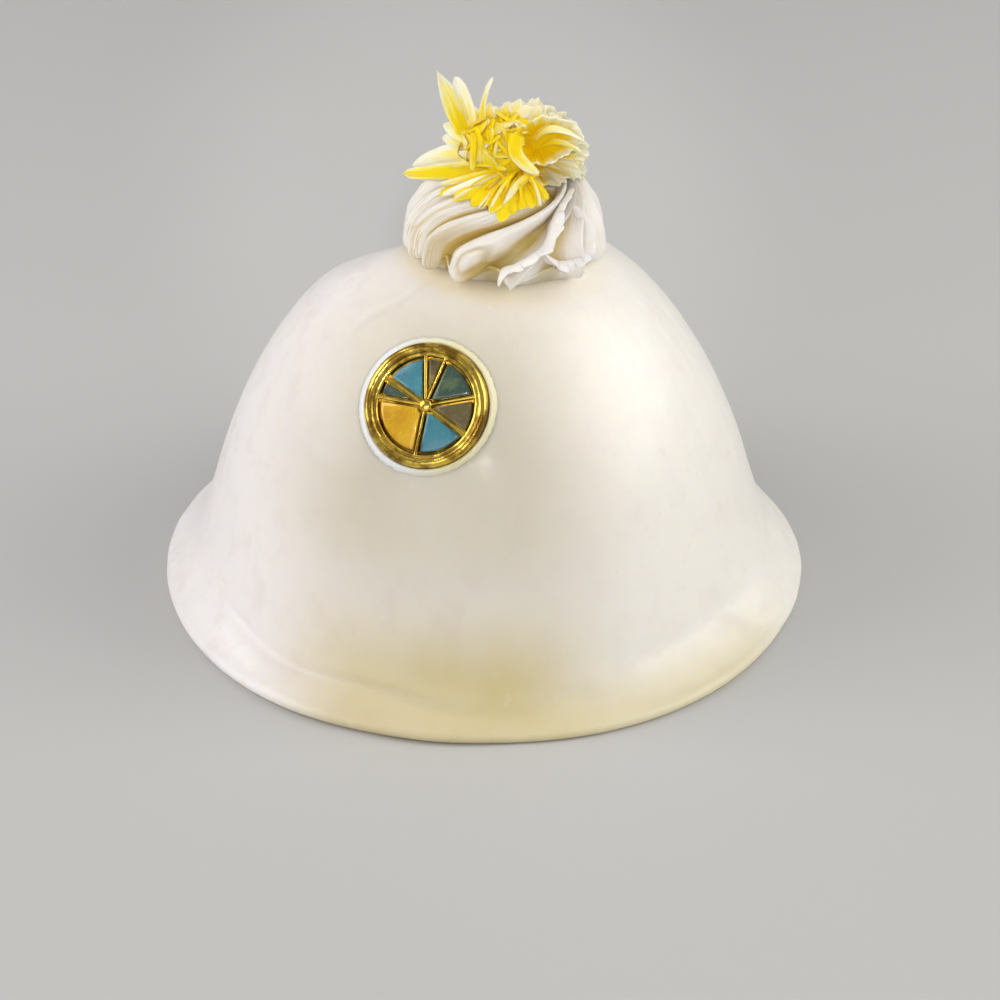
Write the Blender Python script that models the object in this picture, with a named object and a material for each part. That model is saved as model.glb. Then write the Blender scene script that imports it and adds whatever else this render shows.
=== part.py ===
"""Delizia al limone, one serving.

A lemon sponge dome under a smooth cream glaze that runs out into a thin foot. A piped cream
rosette stands on top, a tuft of lemon zest shreds is pressed into the rosette, and a round
gilt badge with coloured panes is set in the front of the glaze.

Metres, +Z up. The origin is the middle of the flat underside, and the badge faces -Y.
"""

import math
import random

import bmesh
import bpy
import numpy as np
from mathutils import Matrix, Vector

MM = 0.001
TURN = 2 * math.pi
UP = Vector((0, 0, 1))

# Clearance kept between pieces that touch on the real cake
GAP = 0.3 * MM

# Glazed dome: a superellipse turned about the upright axis
BODY_RADIUS = 40.2 * MM
BODY_HEIGHT = 51.5 * MM
BODY_POWER_R = 2.72
BODY_POWER_Z = 1.36
DOME_SEGMENTS = 68
DOME_RINGS = 19

# The shoulder behind and to the left has sunk a little
SAG_DEPTH = 4.0 * MM
SAG_X = -10.7 * MM
SAG_Y = 13.0 * MM
SAG_REACH = 6.6 * MM
SAG_TAIL = 0.002

# Foot of the dome, where the glaze has run down and spread
FOOT_SPREAD = 4.8 * MM
FOOT_LIP = 0.75 * MM
FOOT_FADE = 1.4 * MM
SIDE_FADE = 2.2 * MM
LIP_ANGLES = (-90, -45, 0, 50)

# Rosette: a star-nozzle swirl, a little off the dome's axis
ROSETTE_X = 3.1 * MM
ROSETTE_FOOT_HEIGHT = 50.9 * MM
ROSETTE_RINGS = 19
TURN_START = 0.27
TURN_END = 0.78
FOOT_SHARE = 0.3
UNDERSIDE_SHARES = (0.4, 0.8)
UNDERSIDE_DEPTH = 0.6
GROOVE_FADE_RADIUS = 8 * MM
LEAST_OUTWARD = 0.35
DISH_DROP = 0.2 * MM
CREASE_STEPS = (0.36, 0.72)
SHARP_CRESTS = (-80, -42)
HOLLOWS = (-97, -60)

# Zest tuft: its heart, and the solid core that the shreds grow from
TUFT_HEART = Vector((3.4, -0.4, 64.8)) * MM
CORE_RADII = (6.4 * MM, 5.9 * MM, 4.6 * MM)
CORE_LUMPS = 0.14
SHRED_THICKNESS = 0.45 * MM
SHRED_CUP = 0.6 * MM
WAVES = 8.0
CHANNEL_FROM = 2.2 * MM
SHRED_SEED = 11
WELD = 0.02 * MM
FLAT_WITHIN = math.radians(1.5)
LOOSE_SHREDS = 20

# Gilt badge: turned setting, its place on the dome and its coloured panes
BADGE_RADIUS = 8.2 * MM
BADGE_INNER = 6.35 * MM
BADGE_DEPTH = 2.4 * MM
OUTER_BEAD = 0.65 * MM
OUTER_BEAD_HEIGHT = -0.1 * MM
INNER_BEAD = 0.45 * MM
INNER_BEAD_INSET = 0.5 * MM
INNER_BEAD_HEIGHT = -0.35 * MM
BADGE_AZIMUTH = math.radians(-106.25)
BADGE_HEIGHT = 39.8 * MM
PANE_FLOOR = -1.1 * MM
PANE_CROWN = 0.45 * MM
PANE_SINK = 0.25 * MM
CAME_WIDTH = 0.4 * MM
CAME_TOP = 0.1 * MM
BOSS_RADIUS = 0.9 * MM
SETTING_SEGMENTS = 48
POCKET_HEIGHT = 6 * MM
OVERLAP = 0.3 * MM
CAME_ANGLES = (100, 76, 18, -28, -92, -182, -206)
PANE_NAMES = ("amber_top", "green_top", "amber_side", "teal_low", "gold", "green_side", "teal_top")

# Colours as seen on the real pieces: red, green, blue, then roughness and metallic
FINISHES = {
    "lemon_glaze": ((0.90, 0.87, 0.80), 0.35, 0.0),
    "whipped_cream": ((0.93, 0.90, 0.84), 0.45, 0.0),
    "lemon_zest": ((0.95, 0.72, 0.08), 0.45, 0.0),
    "gilt": ((0.83, 0.62, 0.18), 0.22, 1.0),
    "teal_pane": ((0.05, 0.22, 0.28), 0.12, 0.0),
    "green_pane": ((0.05, 0.09, 0.06), 0.12, 0.0),
    "amber_pane": ((0.22, 0.14, 0.03), 0.15, 0.0),
    "gold_pane": ((0.72, 0.45, 0.02), 0.2, 0.6),
}


def clear_scene():
    for obj in list(bpy.data.objects):
        bpy.data.objects.remove(obj, do_unlink=True)


def finish_of(name):
    """The named material, made once and shared."""
    found = bpy.data.materials.get(name)
    if found:
        return found
    colour, roughness, metallic = FINISHES[name]
    made = bpy.data.materials.new(name)
    made.use_nodes = True
    shader = made.node_tree.nodes["Principled BSDF"]
    shader.inputs["Base Color"].default_value = (*colour, 1.0)
    shader.inputs["Roughness"].default_value = roughness
    shader.inputs["Metallic"].default_value = metallic
    return made


def add_object(name, points, faces, finish, sharp_degrees=40):
    """A mesh object with its faces pointing out, and each quad cut along its shorter diagonal."""
    mesh = bpy.data.meshes.new(name)
    mesh.from_pydata([tuple(p) for p in points], [], faces)
    work = bmesh.new()
    work.from_mesh(mesh)
    bmesh.ops.recalc_face_normals(work, faces=work.faces)
    quads = [face for face in work.faces if len(face.verts) == 4]
    bmesh.ops.triangulate(work, faces=quads, quad_method="SHORT_EDGE")
    work.to_mesh(mesh)
    work.free()
    mesh.materials.append(finish_of(finish))
    mesh.shade_smooth()
    mesh.set_sharp_from_angle(angle=math.radians(sharp_degrees))
    obj = bpy.data.objects.new(name, mesh)
    bpy.context.scene.collection.objects.link(obj)
    return obj


def loft(rings, first, last):
    """Points and faces of a closed skin through rings of equal length, ended by two pole points."""
    count = len(rings[0])
    points = [first] + [p for ring in rings for p in ring] + [last]
    faces = []
    for i in range(count):
        after = (i + 1) % count
        faces.append((0, 1 + i, 1 + after))
        for j in range(len(rings) - 1):
            low, high = 1 + j * count, 1 + (j + 1) * count
            faces.append((low + i, high + i, high + after, low + after))
        top = 1 + (len(rings) - 1) * count
        faces.append((len(points) - 1, top + after, top + i))
    return points, faces


def evenly_spaced(line, count):
    """The polyline's points moved to equal steps along its length."""
    line = np.asarray(line, float)
    steps = np.linalg.norm(np.diff(line, axis=0), axis=1)
    travel = np.concatenate([[0.0], np.cumsum(steps)])
    wanted = np.linspace(0.0, travel[-1], count)
    return np.stack([np.interp(wanted, travel, line[:, k]) for k in range(line.shape[1])], axis=1)


def smooth_curve(stations, count):
    """A Catmull-Rom curve through the stations, at count equal steps."""
    p = np.asarray(stations, float)
    p = np.vstack([2 * p[0] - p[1], p, 2 * p[-1] - p[-2]])
    line = []
    for i in range(1, len(p) - 2):
        for t in np.linspace(0, 1, 12, endpoint=False):
            a = 2 * p[i]
            b = p[i + 1] - p[i - 1]
            c = 2 * p[i - 1] - 5 * p[i] + 4 * p[i + 1] - p[i + 2]
            d = 3 * p[i] - p[i - 1] - 3 * p[i + 1] + p[i + 2]
            line.append((a + b * t + c * t * t + d * t**3) / 2)
    line.append(p[-2])
    return evenly_spaced(line, count)


# Glazed dome


def body_radius(z):
    """Radius of the plain bell at height z."""
    share = min(max(z / BODY_HEIGHT, 0.0), 1.0)
    return BODY_RADIUS * (1 - share**BODY_POWER_Z) ** (1 / BODY_POWER_R)


def body_height(radius):
    """Height of the plain bell at a distance from its axis."""
    share = min(radius / BODY_RADIUS, 1.0)
    return BODY_HEIGHT * (1 - share**BODY_POWER_R) ** (1 / BODY_POWER_Z)


def sag(x, y):
    """How far the glaze has sunk below the plain bell at a place seen from above."""
    reach = ((x - SAG_X) ** 2 + (y - SAG_Y) ** 2) / SAG_REACH**2
    return SAG_DEPTH * max(0.0, math.exp(-reach / 2) - SAG_TAIL)


def unevenness(angle, z):
    """How far a spooned glaze wanders out of true, less near the top."""
    wander = 0.30 * math.sin(2 * angle + 0.6) + 0.22 * math.sin(3 * angle - 1.3 + 60 * z)
    wander += 0.12 * math.sin(5 * angle + 2.0 - 90 * z)
    return wander * MM * body_radius(z) / BODY_RADIUS


def foot_spread(angle):
    """The foot's width, which varies round the cake as the glaze ran."""
    share = 0.07 * math.sin(2 * angle + 2.2) + 0.05 * math.sin(5 * angle + 0.4)
    return FOOT_SPREAD * (1 + share)


def foot_fade(angle):
    """How high up the foot's flare reaches: short in front and behind, long at the two sides."""
    share = 1 + 0.25 * math.sin(angle + 0.9) + 0.12 * math.sin(3 * angle)
    return FOOT_FADE * share + SIDE_FADE * math.cos(angle) ** 4


def dome_profile(angle):
    """(radius, height) from the edge of the flat underside up to just below the top."""
    spread = foot_spread(angle)
    rim = BODY_RADIUS + spread - FOOT_LIP
    lip = [math.radians(a) for a in LIP_ANGLES]
    stations = [(rim + FOOT_LIP * math.cos(a), FOOT_LIP * (1 + math.sin(a))) for a in lip]
    radius, start = stations[-1]
    left = radius - body_radius(start)
    heights = start + (BODY_HEIGHT - start) * (1 - np.linspace(1, 0, 160) ** 2)
    flare = [(body_radius(z) + left * math.exp((start - z) / foot_fade(angle)), z) for z in heights]
    upper = evenly_spaced(flare, DOME_RINGS + 2)[1:-1]
    return stations + [(r + unevenness(angle, z), z) for r, z in upper]


def make_dome():
    angles = [TURN * i / DOME_SEGMENTS for i in range(DOME_SEGMENTS)]
    profiles = [dome_profile(a) for a in angles]
    rings = []
    for j in range(len(profiles[0])):
        ring = []
        for a, profile in zip(angles, profiles):
            radius, height = profile[j]
            x, y = radius * math.cos(a), radius * math.sin(a)
            ring.append((x, y, height - sag(x, y)))
        rings.append(ring)
    points, faces = loft(rings, (0, 0, 0), (0, 0, BODY_HEIGHT - sag(0, 0)))
    return add_object("cake_dome", points, faces, "lemon_glaze")


# Piped rosette


def rosette_stations():
    """(radius, height) of the crests, in mm, from the foot of the swirl to the dish in its top."""
    return [
        (11.6, 50.9), (13.1, 51.2), (13.8, 52.1), (13.7, 53.5), (13.4, 54.8), (12.9, 56.1), (12.1, 57.5),
        (11.1, 59.0), (9.9, 60.2), (8.5, 61.0), (6.9, 61.2), (5.2, 60.9), (3.4, 60.4),
    ]


def creases_and_crests():
    """Angle at the foot, angle in the dish and groove depth in mm: crests have no depth."""
    return [
        (-172, -152, 0), (-164.5, -138, 1.6), (-157, -120, 0), (-149, -94, 1.8), (-141, -62, 0),
        (-131, -18, 3.0), (-119, -3, 0), (-97, 8, 2.5), (-80, 15, 0), (-60, 20, 2.2), (-42, 25, 0),
        (-27, 31, 2.2), (-12, 37, 0), (3, 44, 2.2), (17, 51, 0), (31, 59, 2.2), (45, 67, 0), (59, 76, 2.2),
        (72, 85, 0), (85, 95, 2.2), (98, 106, 0), (111, 118, 2.2), (123, 130, 0), (136, 144, 2.2),
        (148, 158, 0), (159, 171, 2.0), (170, 184, 0), (179, 197, 1.8),
    ]


def depth_share(step, sharp, hollow):
    """Share of a groove's depth at a step from crest (0) to groove (1), by the form of both."""
    if sharp and hollow:
        return math.sin(step * math.pi / 2)
    if hollow:
        return (1 - math.cos(step * math.pi)) / 2
    return step if sharp else 1 - math.cos(step * math.pi / 2)


def mesh_lines():
    """(angle at the foot, angle in the dish, groove depth) of every mesh line round the swirl."""
    stops = creases_and_crests()
    foot, dish, depth = stops[0]
    stops.append((foot + 360, dish + 360, depth))
    lines = []
    for here, after in zip(stops, stops[1:]):
        lines.append(here)
        falling = here[2] == 0
        crest, groove = (here, after) if falling else (after, here)
        for step in CREASE_STEPS if falling else reversed(CREASE_STEPS):
            share = depth_share(step, crest[0] in SHARP_CRESTS, groove[0] in HOLLOWS)
            foot, dish = (crest[k] + (groove[k] - crest[k]) * step for k in (0, 1))
            lines.append((foot, dish, groove[2] * share))
    return lines


def on_dome(x, y):
    """Height of the swirl's underside, just clear of the dome."""
    return body_height(math.hypot(x, y)) - sag(x, y) + GAP


def turned_share(share):
    """How much of its turn a crest has made, that far along the section from foot to dish."""
    made = min(max((share - TURN_START) / (TURN_END - TURN_START), 0.0), 1.0)
    return made**2


def make_rosette():
    section = smooth_curve(rosette_stations(), ROSETTE_RINGS) * MM
    lines = mesh_lines()
    rings = []
    for share in UNDERSIDE_SHARES:
        ring = []
        for foot, _, depth in lines:
            radius = (section[0][0] - depth * UNDERSIDE_DEPTH * MM) * share
            angle = math.radians(foot)
            x, y = ROSETTE_X + radius * math.cos(angle), radius * math.sin(angle)
            ring.append((x, y, on_dome(x, y)))
        rings.append(ring)
    for j, (radius, height) in enumerate(section):
        share = j / (len(section) - 1)
        before, after = section[max(j - 1, 0)], section[min(j + 1, len(section) - 1)]
        along = (after - before) / np.linalg.norm(after - before)
        out_r, out_z = along[1], -along[0]
        fade = min(1.0, 0.6 + 4 * share) * min(1.0, radius / GROOVE_FADE_RADIUS)
        ring = []
        for foot, dish, depth in lines:
            angle = math.radians(foot + (dish - foot) * turned_share(share))
            r = radius - max(out_r, LEAST_OUTWARD) * depth * fade * MM
            z = height - out_z * depth * fade * MM
            x, y = ROSETTE_X + r * math.cos(angle), r * math.sin(angle)
            settle = (on_dome(x, y) - ROSETTE_FOOT_HEIGHT) * max(0.0, 1 - share / FOOT_SHARE) ** 2
            ring.append((x, y, max(z + settle, on_dome(x, y)) if j else on_dome(x, y)))
        rings.append(ring)
    bottom = (ROSETTE_X, 0, on_dome(ROSETTE_X, 0))
    points, faces = loft(rings, bottom, (ROSETTE_X, 0, section[-1][1] - DISH_DROP))
    return add_object("cream_rosette", points, faces, "whipped_cream", 60)


# Zest tuft


def crest_height(distance):
    """Height of the swirl's crests over a point that far from its axis."""
    stations = [(r, z) for r, z in rosette_stations() if z > 54.5]
    radii = [0.0] + [r * MM for r, _ in reversed(stations)]
    heights = [60.2 * MM] + [z * MM for _, z in reversed(stations)]
    return float(np.interp(distance, radii, heights))


def lifted(point, margin):
    """The point, moved up where it would touch the swirl."""
    distance = math.hypot(point.x - ROSETTE_X, point.y)
    return Vector((point.x, point.y, max(point.z, crest_height(distance) + margin)))


def shred(name, start, tip, bow, face_to, width, tip_share, wave, steps):
    """One closed ribbon along a bowed line: its broad side looks towards face_to and is waved."""
    channelled = width > CHANNEL_FROM
    rings = []
    for i in range(steps + 1):
        t = i / steps
        along = (tip - start + bow * math.pi * math.cos(math.pi * t)).normalized()
        side = along.cross(face_to).normalized()
        face = side.cross(along)
        belly = math.sin(math.pi * (0.2 + 0.8 * t)) ** 0.8 if t < 1 else 0.0
        half = width / 2 * (belly * (1 - tip_share * t) + tip_share * t)
        middle = start + (tip - start) * t + bow * math.sin(math.pi * t)
        middle += face * wave * math.sin(WAVES * t + 1)
        middle = lifted(middle, half * abs(side.z) + SHRED_THICKNESS / 2 + GAP)
        thick = face * SHRED_THICKNESS / 2
        cup = face * min(half * 0.35, SHRED_CUP) if channelled else Vector()
        across = [middle - side * half + cup, middle, middle + side * half + cup]
        if not channelled:
            across.pop(1)
        rings.append([p + thick for p in across] + [p - thick for p in reversed(across)])
    points = [p for ring in rings for p in ring]
    count = len(rings[0])
    faces = [tuple(range(count)), tuple(range(len(points) - 1, len(points) - count - 1, -1))]
    for j in range(steps):
        for i in range(count):
            after = (i + 1) % count
            low, high = j * count, (j + 1) * count
            faces.append((low + i, low + after, high + after, high + i))
    return add_object(name, points, faces, "lemon_zest")


def spread(low, high, count):
    """Evenly spaced values from low to high."""
    return [float(v) for v in np.linspace(low, high, count)]


def broad_shreds(draw):
    """The curls that show, as (start, tip, bow, face_to, width, tip_share) in mm from the heart."""
    viewer = Vector((0, -1, 0.6))
    found = [
        # the forked curl that stands up on the left, and the thin one beside it
        ((-4.4, 0.0, 1.4), (-8.6, 0.8, 10.6), (-0.5, 0, 0), viewer, 3.0, 0.2),
        ((-3.8, 0.2, 1.4), (-6.0, 1.0, 8.8), (0.5, 0, 0), viewer, 3.0, 0.6),
        ((-2.4, -0.4, 2.6), (-1.6, -0.2, 10.1), (0.4, 0, 0), viewer, 1.2, 0.9),
        # the long curl that lies out to the left, and the paler ones above it
        ((-2.0, -2.4, -0.8), (-13.8, -2.0, -3.2), (0, 0, 0.5), Vector((0, -0.7, 1)), 2.9, 0.5),
        ((-2.4, 0.0, -0.2), (-10.2, 0.8, -1.4), (0, 0, 0.7), viewer, 2.8, 0.35),
        ((-2.6, 1.0, 1.4), (-8.2, 1.4, 1.8), (0, 0, 0.8), viewer, 3.0, 0.6),
        ((-2.4, 1.0, 2.4), (-7.6, 1.4, 4.4), (0, 0, 0.8), viewer, 3.0, 0.6),
    ]
    # the ruffled fold that stands up on the right, fanned round a hollow
    for angle in spread(110, -28, 8):
        a = math.radians(angle)
        reach = 9.0 + draw.uniform(-0.4, 0.4)
        start = (3.6 + 1.6 * math.cos(a), 0.4, 0.4 + 1.4 * math.sin(a))
        tip = (1.4 + reach * math.cos(a), draw.uniform(-1.2, 0.8), -1.0 + reach * 0.78 * math.sin(a))
        found.append((start, tip, (0.4 * math.sin(a), 1.2, 0.4), viewer, draw.uniform(3.2, 4.2), 0.75))
    # the ones behind
    for azimuth in spread(30, 165, 5):
        a = math.radians(azimuth)
        reach = 7.6 + draw.uniform(-0.6, 0.6)
        tip = (0.8 + reach * math.cos(a), reach * math.sin(a), -0.2 + draw.uniform(-1.0, 0.6))
        start = (3 * math.cos(a), 3 * math.sin(a), 1)
        found.append((start, tip, (0, 0, 1.2), UP, draw.uniform(2.8, 3.8), 0.6))
    # the skirt of narrow ones that hangs over the front of the swirl
    for azimuth in spread(-148, -52, 10):
        a = math.radians(azimuth)
        reach = 9.7 + draw.uniform(-0.8, 0.8)
        tip = (reach * math.cos(a) - 0.2, reach * math.sin(a), -4.4)
        bow = (0, 0, draw.uniform(1.3, 2.0))
        start = (2.6 * math.cos(a), 2.6 * math.sin(a), 1.6)
        found.append((start, tip, bow, UP, draw.uniform(1.5, 2.1), 0.6))
    return found


def loose_shred(draw, index):
    """A short narrow shred lying across the heart of the tuft, most of them on the side that shows."""
    azimuth = TURN * (index * 0.618 % 1) if index % 4 == 0 else -math.pi * (index * 0.618 % 1)
    rise = draw.uniform(0.05, 1.45)
    out = Vector((math.cos(azimuth) * math.cos(rise), math.sin(azimuth) * math.cos(rise), math.sin(rise)))
    across = out.cross(Vector((draw.uniform(-1, 1), draw.uniform(-1, 1), draw.uniform(-1, 1)))).normalized()
    middle = Vector([out[k] * (CORE_RADII[k] / MM - 0.1) for k in range(3)])
    half = draw.uniform(1.8, 3.2)
    start = middle - across * half - out * 0.8
    tip = middle + across * half + out * draw.uniform(-0.2, 1.2)
    return start, tip, out * draw.uniform(0.5, 1.0), out, draw.uniform(0.9, 1.5), 0.6


def fuse(obj, pieces):
    """Joins the pieces to the object with one union, and drops the pieces."""
    group = bpy.data.collections.new("pieces")
    bpy.context.scene.collection.children.link(group)
    for piece in pieces:
        bpy.context.scene.collection.objects.unlink(piece)
        group.objects.link(piece)
    bpy.context.view_layer.update()
    union = obj.modifiers.new("fuse", "BOOLEAN")
    union.operation = "UNION"
    union.operand_type = "COLLECTION"
    union.collection = group
    union.solver = "EXACT"
    apply_modifiers(obj)
    for piece in pieces:
        bpy.data.objects.remove(piece, do_unlink=True)
    bpy.data.collections.remove(group)


def make_tuft():
    """A core with every shred fused on."""
    ball = bmesh.new()
    bmesh.ops.create_icosphere(ball, subdivisions=2, radius=1.0)
    draw = random.Random(SHRED_SEED)
    points = []
    for v in ball.verts:
        lump = 1 - draw.uniform(0, CORE_LUMPS)
        point = TUFT_HEART + Vector([v.co[k] * CORE_RADII[k] * lump for k in range(3)])
        points.append(lifted(point, GAP))
    faces = [[v.index for v in f.verts] for f in ball.faces]
    ball.free()
    core = add_object("zest_tuft", points, faces, "lemon_zest")
    shreds = [(*row, 4, draw.uniform(0.2, 0.4)) for row in broad_shreds(draw)]
    shreds += [(*loose_shred(draw, i), 3, 0.1) for i in range(LOOSE_SHREDS)]
    made = []
    for i, (start, tip, bow, face_to, width, tip_share, steps, wave) in enumerate(shreds):
        ends = [TUFT_HEART + Vector(end) * MM for end in (start, tip)]
        bow, width = Vector(bow) * MM, width * MM
        made.append(shred(f"shred_{i}", *ends, bow, face_to, width, tip_share, wave * MM, steps))
    fuse(core, made)
    keep_largest_shell(core)
    return core


def apply_modifiers(obj):
    graph = bpy.context.evaluated_depsgraph_get()
    graph.update()
    mesh = bpy.data.meshes.new_from_object(obj.evaluated_get(graph))
    obj.modifiers.clear()
    obj.data = mesh


def keep_largest_shell(obj):
    """Drops loose scraps, and fills hollows that the union sealed."""
    work = bmesh.new()
    work.from_mesh(obj.data)
    bmesh.ops.remove_doubles(work, verts=work.verts, dist=WELD)
    bmesh.ops.dissolve_limit(work, angle_limit=FLAT_WITHIN, verts=work.verts, edges=work.edges)
    bmesh.ops.triangulate(work, faces=work.faces)
    shells, seen = [], set()
    for start in work.faces:
        if start in seen:
            continue
        seen.add(start)
        shell, waiting = [], [start]
        while waiting:
            face = waiting.pop()
            shell.append(face)
            sound = [edge for edge in face.edges if len(edge.link_faces) == 2]
            for other in {other for edge in sound for other in edge.link_faces} - seen:
                seen.add(other)
                waiting.append(other)
        shells.append(shell)
    shells.sort(key=len)
    loose = [face for shell in shells[:-1] for face in shell]
    bmesh.ops.delete(work, geom=loose, context="FACES")
    work.to_mesh(obj.data)
    work.free()


# Gilt badge


def badge_frame():
    """The badge's own axes: its middle on the glaze, x level, y up the slope and z outwards."""
    radius = body_radius(BADGE_HEIGHT)
    step = 0.1 * MM
    slope = (body_radius(BADGE_HEIGHT + step) - body_radius(BADGE_HEIGHT - step)) / (2 * step)
    level = Vector((math.cos(BADGE_AZIMUTH), math.sin(BADGE_AZIMUTH), 0))
    out = (level - UP * slope).normalized()
    right = UP.cross(out).normalized()
    frame = Matrix((right, out.cross(right), out)).transposed().to_4x4()
    frame.translation = level * radius + UP * BADGE_HEIGHT
    return frame


def turned(profile, segments):
    """Points and faces of a profile of (radius, height) turned about Z, ended on the axis."""
    rings = []
    for radius, height in profile:
        angles = [TURN * i / segments for i in range(segments)]
        rings.append([(radius * math.cos(a), radius * math.sin(a), height) for a in angles])
    return loft(rings, (0, 0, profile[0][1]), (0, 0, profile[-1][1]))


def setting_profile():
    """The gilt setting's section, from its back edge over the two beads down to the pane floor."""
    outer_middle = BADGE_RADIUS - OUTER_BEAD
    inner_middle = BADGE_INNER + INNER_BEAD_INSET
    profile = [(BADGE_RADIUS, -BADGE_DEPTH)]
    for degrees in range(0, 181, 30):
        a = math.radians(degrees)
        radius = outer_middle + OUTER_BEAD * math.cos(a)
        profile.append((radius, OUTER_BEAD_HEIGHT + OUTER_BEAD * math.sin(a)))
    for degrees in range(20, 181, 40):
        a = math.radians(degrees)
        radius = inner_middle + INNER_BEAD * math.cos(a)
        profile.append((radius, INNER_BEAD_HEIGHT + INNER_BEAD * math.sin(a)))
    profile.append((BADGE_INNER, PANE_FLOOR))
    return profile


def make_came(angle, frame):
    """One narrow gilt strip from the boss to the setting's inner bead."""
    length, depth = BADGE_INNER + OVERLAP, CAME_TOP - PANE_FLOOR + OVERLAP
    came = bmesh.new()
    bmesh.ops.create_cube(came, size=1.0)
    size = Matrix.Diagonal((length, CAME_WIDTH, depth, 1))
    place = Matrix.Translation((length / 2, 0, CAME_TOP - depth / 2))
    bmesh.ops.transform(came, matrix=Matrix.Rotation(angle, 4, "Z") @ place @ size, verts=came.verts)
    points, faces = [tuple(v.co) for v in came.verts], [[v.index for v in f.verts] for f in came.faces]
    came.free()
    obj = add_object("came", points, faces, "gilt")
    obj.matrix_world = frame
    return obj


def make_setting(frame):
    points, faces = turned(setting_profile(), SETTING_SEGMENTS)
    setting = add_object("badge_setting", points, faces, "gilt")
    setting.matrix_world = frame
    made = [make_came(math.radians(a), frame) for a in CAME_ANGLES]
    boss_profile = [(BOSS_RADIUS, PANE_FLOOR - 0.2 * MM), (BOSS_RADIUS, 0.1 * MM)]
    boss_profile += [(BOSS_RADIUS * 0.7, 0.35 * MM), (BOSS_RADIUS * 0.3, 0.45 * MM)]
    boss = add_object("boss", *turned(boss_profile, 16), "gilt")
    boss.matrix_world = frame
    fuse(setting, made + [boss])
    return setting


def pane_outline(low, high):
    """A sector between two cames, kept clear of them, of the boss and of the bead."""
    clear = CAME_WIDTH / 2 + GAP
    outer, inner = BADGE_INNER - GAP, BOSS_RADIUS + GAP
    outer_low, outer_high = low + math.asin(clear / outer), high - math.asin(clear / outer)
    bisector, half = (low + high) / 2, (high - low) / 2
    corner = max(inner, clear / math.sin(half))
    steps = max(3, round((outer_high - outer_low) / math.radians(10)))
    arc = np.linspace(outer_low, outer_high, steps + 1)
    outline = [(outer * math.cos(a), outer * math.sin(a)) for a in arc]
    if corner > inner:
        outline.append((corner * math.cos(bisector), corner * math.sin(bisector)))
        return outline
    inner_low, inner_high = low + math.asin(clear / inner), high - math.asin(clear / inner)
    arc = np.linspace(inner_high, inner_low, max(2, round(steps / 2)))
    return outline + [(inner * math.cos(a), inner * math.sin(a)) for a in arc]


def make_pane(name, low, high, frame):
    """A coloured pane with a low crown that belongs to one dome across the whole badge."""
    outline = pane_outline(low, high)
    middle = np.mean(outline, axis=0)

    def crown(x, y):
        return PANE_CROWN * (1 - (x * x + y * y) / BADGE_INNER**2) - PANE_SINK

    rings = [[(x, y, PANE_FLOOR + GAP) for x, y in outline]]
    for share in (1.0, 0.6):
        ring = []
        for x, y in outline:
            px, py = middle[0] + (x - middle[0]) * share, middle[1] + (y - middle[1]) * share
            ring.append((px, py, crown(px, py)))
        rings.append(ring)
    first = (middle[0], middle[1], PANE_FLOOR + GAP)
    last = (middle[0], middle[1], crown(*middle))
    finish = name.split("_")[0] + "_pane"
    pane = add_object("pane_" + name, *loft(rings, first, last), finish)
    pane.matrix_world = frame
    return pane


def make_badge(dome):
    frame = badge_frame()
    make_setting(frame)
    ends = list(CAME_ANGLES) + [CAME_ANGLES[0] - 360]
    for name, high, low in zip(PANE_NAMES, ends, ends[1:]):
        make_pane(name, math.radians(low), math.radians(high), frame)

    bottom, top = -BADGE_DEPTH - GAP, POCKET_HEIGHT
    profile = [(BADGE_RADIUS + GAP, bottom), (BADGE_RADIUS + GAP, top)]
    pocket = add_object("badge_pocket", *turned(profile, SETTING_SEGMENTS), "lemon_glaze")
    pocket.matrix_world = frame
    pocket.hide_render = True
    pocket.display_type = "WIRE"
    cut = dome.modifiers.new("pocket", "BOOLEAN")
    cut.operation = "DIFFERENCE"
    cut.solver = "EXACT"
    cut.object = pocket


def main():
    clear_scene()
    dome = make_dome()
    make_rosette()
    make_tuft()
    make_badge(dome)


main()
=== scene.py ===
# %% [markdown]
# # Delizia al limone
# A one-serving lemon cake: a sponge dome under a poured cream glaze, a piped cream rosette on
# top, a tuft of lemon zest in the rosette and a round gilt badge pressed into the glaze.
# The solids of the part are loaded first. They never move, so every finer piece made here is
# built in the same place and can be laid over them without any fitting.

# %% Load the solids
import math
import random

import bmesh
import bpy
import numpy as np
from mathutils import Matrix, Vector, noise


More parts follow.
